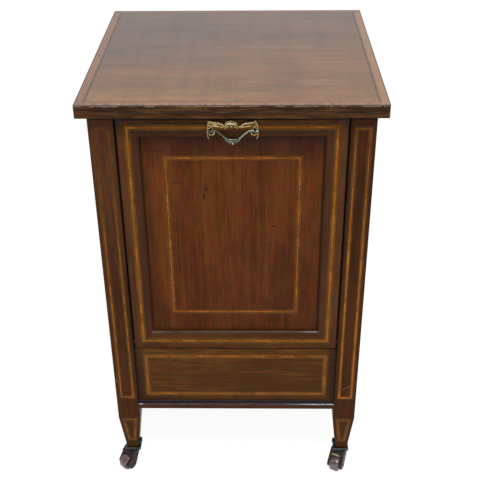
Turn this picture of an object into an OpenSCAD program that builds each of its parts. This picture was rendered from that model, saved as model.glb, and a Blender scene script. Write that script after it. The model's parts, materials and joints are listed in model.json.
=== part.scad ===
// Fall-front coal cabinet on casters, millimetres.
// Origin on the floor under the middle of the top, +Z up, the front faces -Y.

/* [Overall] */
// Height of the top above the floor
overall_h = 652; // [600:1:720]
// Width of the top board
top_w = 400; // [370:1:440]
// Depth of the top board
top_d = 392; // [360:1:430]
// Thickness of the top board
top_t = 18; // [14:1:24]
// How far the top stands out past the legs
top_overhang = 13; // [8:1:18]

/* [Legs] */
// Thickness of the square leg
leg_w = 34; // [30:1:40]
// Thickness of the leg at the foot
foot_w = 18.5; // [16:0.5:24]
// Height over which the leg tapers
taper_h = 72; // [64:1:90]

/* [Carcase] */
// Thickness of the side panels
side_panel_t = 10; // [7:1:12]
// Thickness of the back panel
back_panel_t = 8; // [6:1:10]
// Depth of the panels behind the faces of the legs
panel_recess = 3; // [2:0.5:5]
// Thickness of the bottom board
bottom_board_t = 10; // [8:1:14]
// Height of the inner rails
rail_h = 28; // [20:1:34]
// Thickness of the inner rails
rail_t = 14; // [10:1:18]
// Height of the fixed apron under the door
apron_h = 103.5; // [90:0.5:120]
// Thickness of the apron
apron_t = 20; // [16:1:22]
// Height of the base moulding above the floor
moulding_z = 132; // [126:1:150]
// Height of the base moulding
moulding_h = 14; // [10:1:18]
// How far the moulding stands out from the apron
moulding_out = 5; // [3:0.5:7]

/* [Fall front] */
// Depth of the door and apron behind the legs
door_recess = 5; // [3:0.5:6]
// Thickness of the door frame
door_t = 20; // [18:1:22]
// Gap between the door and the legs
door_gap = 1; // [0.6:0.1:2]
// Gap between the door and the top board
door_top_gap = 1.5; // [1:0.1:3]
// Width of the door stiles
stile_w = 27; // [24:0.5:34]
// Width of the door's top rail
top_rail_w = 30.5; // [28:0.5:38]
// Width of the door's bottom rail
bottom_rail_w = 28.3; // [26:0.5:36]
// Thickness of the door panel
door_panel_t = 7; // [5:0.5:8]
// Depth of the panel behind the face of the door frame
panel_sink = 6; // [4:0.5:7]
// Width of the bead round the panel
bead_w = 2.5; // [2:0.1:4]
// How far the door falls open, in degrees
open_angle = 40; // [30:1:42]
// Distance of the pivot from the door's front and bottom faces
pivot_in = 7; // [6:0.5:8]
// Radius of the pivot pins
pivot_r = 3; // [2:0.25:3.5]

/* [Inlay] */
// Depth of the inlaid bandings
inlay_t = 1; // [0.6:0.1:2]
// Width of the crossbanding on the top
top_band_w = 11; // [8:0.5:14]
// Width of the dark strings on the top
top_string_w = 1.2; // [0.6:0.1:2]
// Width of the satinwood line round the door and apron
wide_band = 4; // [3:0.1:4.6]
// Width of each string beside the wide line
wide_string = 2; // [1.2:0.1:2.4]
// Width of the satinwood line on the panel and legs
fine_band = 3.4; // [2.4:0.1:3.8]
// Width of each string beside the fine line
fine_string = 1.5; // [1:0.1:1.8]

/* [Liner] */
// Thickness of the liner's sheet metal
liner_wall = 1.2; // [0.8:0.1:2]
// Gap between the liner and the legs
liner_side_gap = 16; // [14:0.5:24]
// Room between the liner and the back panel
liner_back_gap = 43; // [42:1:60]
// Room between the top board and the liner as it tips out
liner_swing_gap = 19; // [15:1:30]
// Height of the liner's floor above the bottom board
liner_floor_gap = 18; // [12:1:40]
// Radius of the wired rim
rim_r = 2.2; // [1.8:0.1:2.6]

/* [Stays] */
// Radius of the quadrant stays about the pivot
stay_r = 190; // [160:1:220]
// Width of the stay's bar
stay_w = 8; // [6:0.5:10]
// Thickness of the stay's bar
stay_t = 3; // [2:0.25:4]

/* [Door handle] */
// Distance between the handle's posts
handle_w = 58; // [50:1:66]
// Height of the posts below the top board
handle_drop = 23; // [20:1:26]
// How far the bail hangs below its pivots
bail_drop = 16; // [12:0.5:18]
// Radius of the bail's rod
bail_r = 1.6; // [1.4:0.1:2]
// Thickness of the backplate
backplate_t = 2; // [1.5:0.1:3]

/* [Casters] */
// Height from the floor to the foot of the leg
caster_h = 42; // [40:0.5:50]
// Diameter of the roller
wheel_d = 26; // [22:0.5:28]
// Width of the roller
wheel_w = 15.5; // [12:0.5:18]
// Distance of the axle from the kingpin
caster_trail = 16.5; // [15:0.5:20]
// Thickness of the caster's plate
plate_t = 4.5; // [3:0.25:5]
// Height of the plate's upturned lugs
lug_h = 8.5; // [8:0.5:12]
// Heading of each caster's trail from +X, in degrees
front_left_heading = 230; // [180:1:270]
front_right_heading = 244; // [180:1:270]
rear_left_heading = 215; // [180:1:270]
rear_right_heading = 252; // [180:1:270]

/* [Hidden] */
$fn = 64;
glue_line = 0.05;
joint_clearance = 0.1;
run_clearance = 0.05;
eps = 0.01;
// A bend in a rod is a ball this much fatter than the rod
knuckle = 0.06;
// How far a cutter reaches past the face that it cuts
past = 1;

top_z = overall_h - top_t;
body_x = top_w / 2 - top_overhang;
body_y = top_d / 2 - top_overhang;
leg_x = body_x - leg_w / 2;
leg_y = body_y - leg_w / 2;
leg_in_x = body_x - leg_w;
leg_in_y = body_y - leg_w;
foot_z = caster_h;
taper_z = foot_z + taper_h;
taper_in = (leg_w - foot_w) / 2;
taper_angle = atan(taper_in / taper_h);

side_in_x = body_x - panel_recess - side_panel_t;
back_in_y = body_y - panel_recess - back_panel_t;
panel_tongue = 6;
tenon_l = 10;
tenon_inset = 4;
apron_z = moulding_z + moulding_h;
bottom_z = moulding_z + rail_h;
floor_z = bottom_z + bottom_board_t;

door_y = -body_y + door_recess;
door_back_y = door_y + door_t;
door_x = leg_in_x - door_gap;
door_z = apron_z + apron_h + door_gap;
door_top_z = top_z - door_top_gap;
frame_x = door_x - stile_w;
frame_z = door_z + bottom_rail_w;
frame_top_z = door_top_z - top_rail_w;
hinge_y = door_y + pivot_in;
hinge_z = door_z + pivot_in;
// The door's bottom corner turns in a cove along the top of the apron
cove_r = norm([pivot_in, pivot_in]) + door_gap;
bush_wall = 2;
pin_in_door = 14;
pin_in_leg = 9;

wide_total = wide_band + 2 * wide_string;
fine_total = fine_band + 2 * fine_string;
// From the edges of each piece to the middle of its banding
door_band_in = 10.45 + wide_total / 2;
door_band_drop = 15.1 + wide_total / 2;
door_band_rise = 9.65 + wide_total / 2;
apron_band_in = 12.35 + wide_total / 2;
apron_band_top = 11.3 + wide_total / 2;
apron_band_bottom = 9.9 + wide_total / 2;
panel_band_in = 32.5;
leg_band_in = 7.7;
leg_band_drop = 20;
leg_band_z = moulding_z + 24.2;
foot_band_drop = 2.5;
foot_band_l = 54.5;
foot_band_in = 3.9;

hook_t = 1.6;
bar_t = 3;
bar_h = 15;
bar_gap = 0.5;
// The bar, its hooks and the liner stand one behind the other off the door
hook_y = door_back_y + bar_gap;
bar_y = hook_y + hook_t + bar_gap;
hook_back_y = bar_y + bar_t + bar_gap;
liner_y = hook_back_y + hook_t;
liner_back_y = back_in_y - liner_back_gap;
liner_x = leg_in_x - liner_side_gap;
liner_z = floor_z + liner_floor_gap;
liner_top_z = frame_top_z - 14.5;
liner_reach = liner_back_y - hinge_y;
// The rear rim clears the top board when the front is down
liner_back_z = hinge_z
    + (top_z - liner_swing_gap - hinge_z - liner_reach * sin(open_angle)) / cos(open_angle);
bar_z = liner_top_z - 27.5;
hook_x = 80;
hook_w = 25;
hook_l = 32;
hook_lip = 8;
rivet_pitch = 12;
rivet_r = 1.5;
rivet_head_r = 2.6;
rivet_head_t = 0.9;
rivet_taper = 0.7;
rivet_hole_l = 12;

stay_x = leg_in_x - 5.5 - stay_t;
stay_foot_w = 11;
stay_foot_h = 30;
stay_foot_t = 2;
stay_screw_in = 5;
keeper_t = 2.5;
keeper_h = 26;
keeper_in_x = stay_x - 3;
keeper_out_x = leg_in_x + 18;
keeper_screw_x = leg_in_x + 11;
keeper_screw_pitch = 16;
keeper_angle = asin((-leg_in_y + keeper_t / 2 - hinge_y) / stay_r);
keeper_z = hinge_z + stay_r * cos(keeper_angle);
stay_end_angle = keeper_angle + open_angle + 0.8;
stay_head_angle = 3.4;
stay_head_w = 16;

handle_x = 0.8;
handle_z = top_z - handle_drop;
post_r = 2.8;
post_out = 8.5;
bail_y = door_y - 5.5;
bail_pin_r = 1.3;

wheel_r = wheel_d / 2;
plate_out = 3;
lug_t = 3.2;
lug_w = 10;
kingpin_r = 3;
kingpin_head_r = 4.6;
kingpin_head_t = 2;
kingpin_head_room = 0.4;
crown_r = 9.5;
crown_t = 7;
crown_gap = 0.5;
crown_z = foot_z - plate_t - crown_gap;
cheek_t = 4;
cheek_gap = 0.8;
wheel_room = 0.9;
cheek_top_x = 6;
cheek_top_r = 5;
hood_inset = 0.4;
hood_flat = 8.5;
hood_t = 3.6;
hood_lip_in = 0.7;
hood_lip_drop = 1.5;
hood_under_x = 5.6;
axle_r = 2.2;
axle_boss_r = 8;
axle_out = 0.8;
screw_r = 1.6;
screw_head_r = 3;
screw_head_t = 1.2;
screw_head_taper = 0.8;
door_screw_l = 12;
keeper_screw_l = 10;
caster_screw_l = 9;

liner_pull_w = 88;
liner_pull_drop = 30;
liner_pull_r = 2.5;
liner_pull_out = 6;
liner_pull_y = liner_back_y + liner_pull_out;
liner_pull_z = liner_back_z - 45;
liner_lug_x = liner_pull_w / 2 + 8;
liner_lug_w = 12;
liner_lug_h = 30;
liner_rivet_pitch = 19.2;
lug_bore_l = 8;

mahogany = "#5b3420";
mahogany_dark = "#482a1a";
mahogany_red = "#6b3a1c";
satinwood = "#a5641c";
boxwood = "#7a5c2c";
ebony = "#2a2018";
pine = "#b08a5a";
brass = "#a88d52";
bronze = "#3a3a38";
iron = "#33312f";
glazed = "#7a6660";

FRONT = -1;
REAR = 1;
LEFT = -1;
RIGHT = 1;
CORNERS = [[LEFT, FRONT], [RIGHT, FRONT], [LEFT, REAR], [RIGHT, REAR]];

// ---- Helpers -------------------------------------------------------------

// A box between two corners
module box(low, high) {
    translate(low)
        cube(high - low);
}

// Extrudes a Y-Z outline along X
module along_x(x0, x1) {
    translate([x0, 0, 0])
        rotate([90, 0, 90])
            linear_extrude(x1 - x0)
                children();
}

// Extrudes an X-Z outline backwards from y0
module along_y(y0, length) {
    translate([0, y0 + length, 0])
        rotate([90, 0, 0])
            linear_extrude(length)
                children();
}

// A rod between two points
module rod(from, to, r) {
    step = to - from;
    length = norm(step);
    translate(from)
        rotate([0, acos(step[2] / length), atan2(step[1], step[0])])
            cylinder(h = length, r = r);
}

// One mitred strip, its centre line offset above the frame's centre
module mitred_strip(length, offset, band) {
    outer = (length + band) / 2 - glue_line;
    inner = (length - band) / 2 - glue_line;
    polygon([[-outer, offset + band / 2], [outer, offset + band / 2],
        [inner, offset - band / 2], [-inner, offset - band / 2]]);
}

// Four mitred strips whose centre lines make a w by h rectangle
module mitred_frame(w, h, band) {
    for (side = [0, 180])
        rotate(side) {
            mitred_strip(w, h / 2, band);
            rotate(90)
                mitred_strip(h, w / 2, band);
        }
}

// The groove that a frame of strips is let into
module groove(w, h, band) {
    difference() {
        square([w + band, h + band], center = true);
        square([w - band, h - band], center = true);
    }
}

// The two rings of string on either side of a banding
module string_frames(w, h, band, string) {
    for (side = [-1, 1])
        mitred_frame(w + side * (band + string), h + side * (band + string), string);
}

// A bar along X with a tenon on each end
module tenoned_rail_x(x, low, high) {
    box([-x, low[0], low[1]], [x, high[0], high[1]]);
    box([-x - tenon_l, low[0] + tenon_inset, low[1] + tenon_inset],
        [x + tenon_l, high[0] - tenon_inset, high[1] - tenon_inset]);
}

// The mortises for such a bar
module mortises_x(x, low, high) {
    c = joint_clearance;
    box([-x - tenon_l - c, low[0] + tenon_inset - c, low[1] + tenon_inset - c],
        [x + tenon_l + c, high[0] - tenon_inset + c, high[1] - tenon_inset + c]);
}

// A round-headed screw, its head on the plane z = 0 and its shank below
module screw(length) {
    cylinder(h = screw_head_t, r1 = screw_head_r, r2 = screw_head_r - screw_head_taper);
    translate([0, 0, -length])
        cylinder(h = length + eps, r = screw_r);
}

// The hole that such a screw stands in
module screw_hole(length) {
    translate([0, 0, -length - past])
        cylinder(h = length + 2 * past, r = screw_r + joint_clearance);
}

// ---- Top -----------------------------------------------------------------

top_band_x = top_w - top_band_w - 2 * top_string_w;
top_band_y = top_d - top_band_w - 2 * top_string_w;
top_inlay_w = top_band_w + 2 * top_string_w;

module top_board() {
    color(mahogany)
        difference() {
            box([-top_w / 2, -top_d / 2, top_z], [top_w / 2, top_d / 2, overall_h]);
            translate([0, 0, overall_h - inlay_t])
                linear_extrude(inlay_t + past)
                    groove(top_band_x, top_band_y, top_inlay_w);
        }
}

module top_banding() {
    color(satinwood)
        translate([0, 0, overall_h - inlay_t])
            linear_extrude(inlay_t)
                mitred_frame(top_band_x, top_band_y, top_band_w);
}

module top_stringing() {
    color(ebony)
        translate([0, 0, overall_h - inlay_t])
            linear_extrude(inlay_t)
                string_frames(top_band_x, top_band_y, top_band_w, top_string_w);
}

// ---- Legs ----------------------------------------------------------------

// Outline of the leg, straight above and tapered at the foot
module leg_outline() {
    polygon([[-leg_w / 2, top_z], [leg_w / 2, top_z], [leg_w / 2, taper_z],
        [foot_w / 2, foot_z], [-foot_w / 2, foot_z], [-leg_w / 2, taper_z]]);
}

module plain_leg() {
    intersection() {
        along_y(-leg_w, 2 * leg_w) leg_outline();
        along_x(-leg_w, leg_w) leg_outline();
    }
}

// What is cut from the front legs only: apron mortise, bush hole and inlay
module front_leg_cuts() {
    mortises_x(leg_in_x, [door_y, apron_z], [door_y + apron_t, apron_z + apron_h]);
    for (side = [LEFT, RIGHT]) {
        rod([side * (leg_in_x - past), hinge_y, hinge_z],
            [side * (leg_in_x + pin_in_leg), hinge_y, hinge_z], pivot_r + bush_wall);
        translate([side * leg_x, 0, leg_band_middle_z])
            along_y(-body_y - past, inlay_t + past)
                groove(leg_band_w, leg_band_h, fine_total);
        on_foot_face(side, -past)
            foot_ring(0, fine_total);
    }
    keeper_screw_places() screw_hole(keeper_screw_l);
}

// Grooves for the side and back panels
module panel_grooves() {
    c = joint_clearance;
    t = panel_tongue;
    for (side = [LEFT, RIGHT])
        translate([side * (side_in_x + side_panel_t / 2), 0, 0])
            box([-side_panel_t / 2 - c, -leg_in_y - t - c, moulding_z - c],
                [side_panel_t / 2 + c, leg_in_y + t + c, top_z + past]);
    box([-leg_in_x - t - c, back_in_y - c, moulding_z - c],
        [leg_in_x + t + c, back_in_y + back_panel_t + c, top_z + past]);
}

module leg(side, end) {
    difference() {
        translate([side * leg_x, end * leg_y, 0])
            plain_leg();
        panel_grooves();
        side_rail_mortises();
        if (end == REAR) back_rail_mortises();
        if (end == FRONT) front_leg_cuts();
        caster_screw_places() screw_hole(caster_screw_l);
        translate([side * leg_x, end * leg_y, foot_z - past])
            cylinder(h = past + kingpin_head_t + kingpin_head_room,
                r = kingpin_head_r + kingpin_head_room);
    }
}

module front_left_leg() { color(mahogany_dark) leg(LEFT, FRONT); }
module front_right_leg() { color(mahogany_dark) leg(RIGHT, FRONT); }
module rear_left_leg() { color(mahogany_dark) leg(LEFT, REAR); }
module rear_right_leg() { color(mahogany_dark) leg(RIGHT, REAR); }

leg_band_w = leg_w - 2 * leg_band_in;
leg_band_top_z = top_z - leg_band_drop;
leg_band_h = leg_band_top_z - leg_band_z;
leg_band_middle_z = (leg_band_top_z + leg_band_z) / 2;

module leg_banding() {
    color(satinwood)
        for (side = [LEFT, RIGHT])
            translate([side * leg_x, 0, leg_band_middle_z])
                along_y(-body_y, inlay_t)
                    mitred_frame(leg_band_w, leg_band_h, fine_band);
}

// Strings on both sides of the bandings of the front legs and feet
module leg_stringing() {
    color(boxwood)
        for (side = [LEFT, RIGHT]) {
            translate([side * leg_x, 0, leg_band_middle_z])
                along_y(-body_y, inlay_t)
                    string_frames(leg_band_w, leg_band_h, fine_band, fine_string);
            on_foot_face(side, 0) {
                foot_ring(0, fine_string);
                foot_ring(fine_total - fine_string, fine_total);
            }
        }
}

// Lays an outline, drawn down from the start of the taper, on the sloping front face
module on_foot_face(side, lift) {
    translate([side * leg_x, -body_y, taper_z])
        rotate([taper_angle, 0, 0])
            along_y(lift, inlay_t - lift)
                children();
}

// Half width of the foot's inlay at a distance down the taper
function foot_half(down) = leg_w / 2 - taper_in * down / taper_h - foot_band_in;

// The foot's tapered field, drawn a distance in from the edge of its inlay
module foot_field(in) {
    top = foot_band_drop + in;
    bottom = foot_band_drop + foot_band_l - in;
    polygon([[in - foot_half(top), -top], [foot_half(top) - in, -top],
        [foot_half(bottom) - in, -bottom], [in - foot_half(bottom), -bottom]]);
}

module foot_ring(outer, inner) {
    difference() {
        foot_field(outer);
        foot_field(inner);
    }
}

module foot_inlay() {
    color(satinwood)
        for (side = [LEFT, RIGHT])
            on_foot_face(side, 0)
                foot_ring(fine_string, fine_string + fine_band);
}

// ---- Carcase -------------------------------------------------------------

module side_panel(side) {
    translate([side * (side_in_x + side_panel_t / 2), 0, 0])
        box([-side_panel_t / 2, -leg_in_y - panel_tongue, moulding_z],
            [side_panel_t / 2, leg_in_y + panel_tongue, top_z]);
}

module left_side_panel() { color(mahogany) side_panel(LEFT); }
module right_side_panel() { color(mahogany) side_panel(RIGHT); }

module back_panel() {
    color(mahogany_dark)
        box([-leg_in_x - panel_tongue, back_in_y, moulding_z],
            [leg_in_x + panel_tongue, back_in_y + back_panel_t, top_z]);
}

// Board that closes the cabinet underneath, notched round the legs
module bottom_board() {
    c = joint_clearance;
    color(pine)
        difference() {
            box([-side_in_x, door_y + apron_t, bottom_z], [side_in_x, back_in_y, floor_z]);
            for (corner = CORNERS)
                translate([corner[0] * leg_x, corner[1] * leg_y, bottom_z])
                    cube([leg_w + 2 * c, leg_w + 2 * c, 4 * bottom_board_t], center = true);
        }
}

module side_rail(side, z, tenon) {
    x0 = side == RIGHT ? side_in_x - rail_t : -side_in_x;
    grow = tenon == "mortise" ? joint_clearance : 0;
    if (tenon == "rail")
        box([x0, -leg_in_y, z], [x0 + rail_t, leg_in_y, z + rail_h]);
    box([x0 + tenon_inset - grow, -leg_in_y - tenon_l - grow, z + tenon_inset - grow],
        [x0 + rail_t - tenon_inset + grow, leg_in_y + tenon_l + grow,
            z + rail_h - tenon_inset + grow]);
}

module side_rails() {
    color(pine)
        for (side = [LEFT, RIGHT], z = [moulding_z, top_z - rail_h])
            side_rail(side, z, "rail");
}

module side_rail_mortises() {
    for (side = [LEFT, RIGHT], z = [moulding_z, top_z - rail_h])
        side_rail(side, z, "mortise");
}

back_rail_y = back_in_y - rail_t;
BACK_RAIL_Z = [moulding_z, top_z - rail_h];
// The back tenons are short, so that they miss the side tenons
back_tenon_l = 4;

module back_rails() {
    color(pine)
        for (z = BACK_RAIL_Z) {
            box([-leg_in_x, back_rail_y, z], [leg_in_x, back_in_y, z + rail_h]);
            box([-leg_in_x - back_tenon_l, back_rail_y + tenon_inset, z + tenon_inset],
                [leg_in_x + back_tenon_l, back_in_y - tenon_inset, z + rail_h - tenon_inset]);
        }
}

module back_rail_mortises() {
    c = joint_clearance;
    for (z = BACK_RAIL_Z)
        box([-leg_in_x - back_tenon_l - c, back_rail_y + tenon_inset - c, z + tenon_inset - c],
            [leg_in_x + back_tenon_l + c, back_in_y - tenon_inset + c,
                z + rail_h - tenon_inset + c]);
}

// Batten under the top that the door shuts against
stop_rail_h = 20;
stop_rail_t = 20;
stop_gap = 0.2;

module door_stop_rail() {
    color(pine)
        box([-leg_in_x, door_back_y + stop_gap, top_z - stop_rail_h],
            [leg_in_x, door_back_y + stop_gap + stop_rail_t, top_z]);
}

// Glue blocks in the four upper corners, between the rails and the top
block_w = 28;

module corner_blocks() {
    x = side_in_x - rail_t;
    front_y = door_back_y + stop_gap + stop_rail_t;
    color(pine)
        translate([0, 0, top_z - stop_rail_h])
            linear_extrude(stop_rail_h)
                difference() {
                    for (side = [LEFT, RIGHT]) {
                        polygon([[side * x, front_y], [side * (x - block_w), front_y],
                            [side * x, front_y + block_w]]);
                        polygon([[side * x, back_rail_y], [side * (x - block_w), back_rail_y],
                            [side * x, back_rail_y - block_w]]);
                    }
                    for (corner = CORNERS)
                        translate([corner[0] * leg_x, corner[1] * leg_y])
                            square(leg_w, center = true);
                }
}

module apron_panel() {
    color(mahogany)
        difference() {
            tenoned_rail_x(leg_in_x, [door_y, apron_z], [door_y + apron_t, apron_z + apron_h]);
            translate([0, 0, apron_band_middle_z])
                along_y(door_y - past, inlay_t + past)
                    groove(apron_band_w, apron_band_h, wide_total);
            rod([-leg_in_x - past, hinge_y, hinge_z], [leg_in_x + past, hinge_y, hinge_z], cove_r);
        }
}

apron_band_w = 2 * (leg_in_x - apron_band_in);
apron_band_h = apron_h - apron_band_top - apron_band_bottom;
apron_band_middle_z = apron_z + apron_band_bottom + apron_band_h / 2;

module apron_banding() {
    color(satinwood)
        translate([0, 0, apron_band_middle_z])
            along_y(door_y, inlay_t)
                mitred_frame(apron_band_w, apron_band_h, wide_band);
}

module apron_stringing() {
    color(boxwood)
        translate([0, 0, apron_band_middle_z])
            along_y(door_y, inlay_t)
                string_frames(apron_band_w, apron_band_h, wide_band, wide_string);
}

// Strip under the apron, rounded below and hollowed above
nose_r = 2;
hollow_r = 4;

module base_moulding() {
    y = door_y - moulding_out;
    back = door_y + apron_t;
    color(mahogany)
        along_x(-leg_in_x, leg_in_x)
            difference() {
                union() {
                    translate([y + nose_r, moulding_z])
                        square([back - y - nose_r, moulding_h]);
                    translate([y, moulding_z + nose_r])
                        square([nose_r + eps, moulding_h - nose_r]);
                    translate([y + nose_r, moulding_z + nose_r])
                        circle(nose_r);
                }
                translate([y, apron_z])
                    circle(hollow_r);
            }
}

// ---- Fall front ----------------------------------------------------------

panel_front_y = door_y + panel_sink;
rail_tenon_t = 6;
rail_tenon_l = 12;
rail_tenon_in = 6;
rail_tenon_y = door_back_y - 3 - rail_tenon_t;

// Tongues of the two door rails, grown by a clearance where they are cut
module rail_tenons(grow) {
    for (z = [[door_z + pivot_in, frame_z - rail_tenon_in],
        [frame_top_z + rail_tenon_in, door_top_z - rail_tenon_in]])
        box([-frame_x - rail_tenon_l - grow, rail_tenon_y - grow, z[0] - grow],
            [frame_x + rail_tenon_l + grow, rail_tenon_y + rail_tenon_t + grow, z[1] + grow]);
}

// Groove that holds the panel in the door frame
module panel_groove() {
    c = joint_clearance;
    box([-frame_x - panel_tongue, panel_front_y - c, frame_z - panel_tongue],
        [frame_x + panel_tongue, panel_front_y + door_panel_t + c, frame_top_z + panel_tongue]);
}

door_band_w = 2 * (door_x - door_band_in);
door_band_low_z = door_z + door_band_rise;
door_band_top_z = door_top_z - door_band_drop;
door_band_h = door_band_top_z - door_band_low_z;
door_band_middle_z = (door_band_top_z + door_band_low_z) / 2;

module door_band_groove() {
    translate([0, 0, door_band_middle_z])
        along_y(door_y - past, inlay_t + past)
            groove(door_band_w, door_band_h, wide_total);
}

module door_stile(side) {
    difference() {
        box([min(side * frame_x, side * door_x), door_y, door_z],
            [max(side * frame_x, side * door_x), door_back_y, door_top_z]);
        rail_tenons(joint_clearance);
        panel_groove();
        door_band_groove();
        rod([side * (door_x - pin_in_door), hinge_y, hinge_z],
            [side * (door_x + past), hinge_y, hinge_z], pivot_r);
        door_screw_holes();
    }
}

module door_left_stile() { color(mahogany_dark) door_stile(LEFT); }
module door_right_stile() { color(mahogany_dark) door_stile(RIGHT); }

module door_rail(z_from, z_to) {
    difference() {
        union() {
            box([-frame_x, door_y, z_from], [frame_x, door_back_y, z_to]);
            intersection() {
                rail_tenons(0);
                box([-top_w, -top_d, z_from], [top_w, top_d, z_to]);
            }
        }
        panel_groove();
        door_band_groove();
        post_holes();
        handle_nut_places() cylinder(h = nut_t + past, r = nut_r + nut_room);
    }
}

module door_top_rail() { color(mahogany_dark) door_rail(frame_top_z, door_top_z); }
module door_bottom_rail() { color(mahogany_dark) door_rail(door_z, frame_z); }

// The panel is loose in its groove, so that it can swell
panel_room = 0.5;
panel_w = 2 * (frame_x + panel_tongue - panel_room);
panel_h = frame_top_z - frame_z + 2 * (panel_tongue - panel_room);
panel_middle_z = (frame_top_z + frame_z) / 2;
panel_band_w = 2 * (frame_x - bead_w - panel_band_in);
panel_band_h = frame_top_z - frame_z - 2 * (bead_w + panel_band_in) - 1;

module door_panel() {
    color(mahogany_red)
        translate([0, 0, panel_middle_z])
            difference() {
                along_y(panel_front_y, door_panel_t)
                    square([panel_w, panel_h], center = true);
                along_y(panel_front_y - past, inlay_t + past)
                    groove(panel_band_w, panel_band_h, fine_total);
            }
}

// Rounded bead in four mitred lengths round the panel
module panel_bead() {
    w = 2 * frame_x - bead_w;
    h = frame_top_z - frame_z - bead_w;
    color(mahogany_dark)
        translate([0, 0, panel_middle_z])
            intersection() {
                along_y(door_y - past, panel_sink + 2 * past)
                    mitred_frame(w, h, bead_w);
                for (side = [0, 90, 180, 270])
                    rotate([0, side, 0])
                        bead_length(side % 180 == 0 ? [w, h] : [h, w]);
            }
}

module bead_length(size) {
    inner = size[1] / 2 - bead_w / 2;
    r = bead_w - 0.2;
    along_x(-size[0] / 2 - bead_w, size[0] / 2 + bead_w) {
        translate([door_y + r, inner])
            square([panel_sink - r, bead_w]);
        translate([door_y, inner + r])
            square([panel_sink, bead_w - r]);
        translate([door_y + r, inner + r])
            circle(r);
    }
}

// The handle's posts pass through the inlay of the top rail
module post_holes() {
    handle_post_places() cylinder(h = 60, r = post_shank_r + joint_clearance, center = true);
}

module door_banding() {
    color(satinwood)
        difference() {
            translate([0, 0, door_band_middle_z])
                along_y(door_y, inlay_t)
                    mitred_frame(door_band_w, door_band_h, wide_band);
            post_holes();
        }
}

module door_stringing() {
    color(boxwood)
        difference() {
            translate([0, 0, door_band_middle_z])
                along_y(door_y, inlay_t)
                    string_frames(door_band_w, door_band_h, wide_band, wide_string);
            post_holes();
        }
}

module panel_banding() {
    color(satinwood)
        translate([0, 0, panel_middle_z])
            along_y(panel_front_y, inlay_t)
                mitred_frame(panel_band_w, panel_band_h, fine_band);
}

module panel_stringing() {
    color(boxwood)
        translate([0, 0, panel_middle_z])
            along_y(panel_front_y, inlay_t)
                string_frames(panel_band_w, panel_band_h, fine_band, fine_string);
}

// Pins fixed in the stiles, turning in brass bushes in the legs
module pivot_pins() {
    color(brass)
        for (side = [LEFT, RIGHT])
            rod([side * (door_x - pin_in_door + glue_line), hinge_y, hinge_z],
                [side * (leg_in_x + pin_in_leg - 1), hinge_y, hinge_z], pivot_r);
}

module pivot_bushes() {
    color(brass)
        for (side = [LEFT, RIGHT])
            difference() {
                rod([side * leg_in_x, hinge_y, hinge_z],
                    [side * (leg_in_x + pin_in_leg), hinge_y, hinge_z], pivot_r + bush_wall);
                rod([side * (leg_in_x - past), hinge_y, hinge_z],
                    [side * (leg_in_x + pin_in_leg + past), hinge_y, hinge_z],
                    pivot_r + run_clearance);
            }
}

// ---- Quadrant stays ------------------------------------------------------

// An arc of a flat bar in the Y-Z plane, angles measured back from upright
module arc_bar(from, to, w) {
    intersection() {
        difference() {
            circle(stay_r + w / 2, $fn = 180);
            circle(stay_r - w / 2, $fn = 180);
        }
        polygon([[0, 0], [2 * stay_r * sin(from), 2 * stay_r * cos(from)],
            [2 * stay_r * sin(to), 2 * stay_r * cos(to)]]);
    }
}

stay_root_angle = asin((door_back_y - hinge_y) / stay_r);
stay_foot_z = hinge_z + stay_r * cos(stay_root_angle) - stay_foot_h / 2;

module door_stays() {
    color(brass)
        for (side = [LEFT, RIGHT]) {
            near = min(side * stay_x, side * (stay_x + stay_t));
            intersection() {
                along_x(near, near + stay_t)
                    translate([hinge_y, hinge_z]) {
                        arc_bar(0, stay_end_angle + 0.1, stay_w);
                        arc_bar(stay_end_angle, stay_end_angle + stay_head_angle, stay_head_w);
                    }
                box([-top_w, door_back_y, 0], [top_w, top_d, overall_h]);
            }
            difference() {
                translate([side * (stay_x + stay_t / 2), door_back_y, stay_foot_z])
                    translate([-stay_foot_w / 2, 0, 0])
                        cube([stay_foot_w, stay_foot_t, stay_foot_h]);
                door_screw_holes();
            }
        }
}

// Keepers behind the front legs, each with a slot that guides its stay
module stay_keepers() {
    slot_room = 0.8;
    slot_w = stay_t + 1;
    slot_h = stay_w / cos(keeper_angle) + 2 * slot_room;
    color(brass)
        for (side = [LEFT, RIGHT])
            difference() {
                along_y(-leg_in_y, keeper_t)
                    translate([side * (keeper_in_x + keeper_out_x) / 2, keeper_z])
                        square([keeper_out_x - keeper_in_x, keeper_h], center = true);
                along_y(-leg_in_y - past, keeper_t + 2 * past)
                    translate([side * (stay_x + stay_t / 2), keeper_z])
                        square([slot_w, slot_h], center = true);
                keeper_screw_places() screw_hole(keeper_screw_l);
            }
}

// Screws stand on +Y faces of the keepers
module keeper_screw_places() {
    for (side = [LEFT, RIGHT], rise = [-keeper_screw_pitch, keeper_screw_pitch] / 2)
        translate([side * keeper_screw_x, -leg_in_y + keeper_t, keeper_z + rise])
            rotate([-90, 0, 0])
                children();
}

module keeper_screws() {
    color(brass)
        keeper_screw_places() screw(keeper_screw_l);
}

// Screws through the stay feet and the ends of the hanger bar into the stiles
module door_screw_places() {
    for (side = [LEFT, RIGHT]) {
        for (rise = [stay_screw_in, stay_foot_h - stay_screw_in])
            translate([side * (stay_x + stay_t / 2), door_back_y + stay_foot_t,
                stay_foot_z + rise])
                rotate([-90, 0, 0])
                    children();
        translate([side * bar_screw_x, bar_y + bar_t, bar_z + bar_h / 2])
            rotate([-90, 0, 0])
                children();
    }
}

module door_screw_holes() {
    door_screw_places() screw_hole(door_screw_l);
}

module door_screws() {
    color(brass)
        door_screw_places() screw(door_screw_l);
}

// ---- Liner ---------------------------------------------------------------

bar_x = liner_x + 2;
bar_foot_w = 14;
bar_screw_x = bar_x - bar_foot_w / 2;

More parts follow.
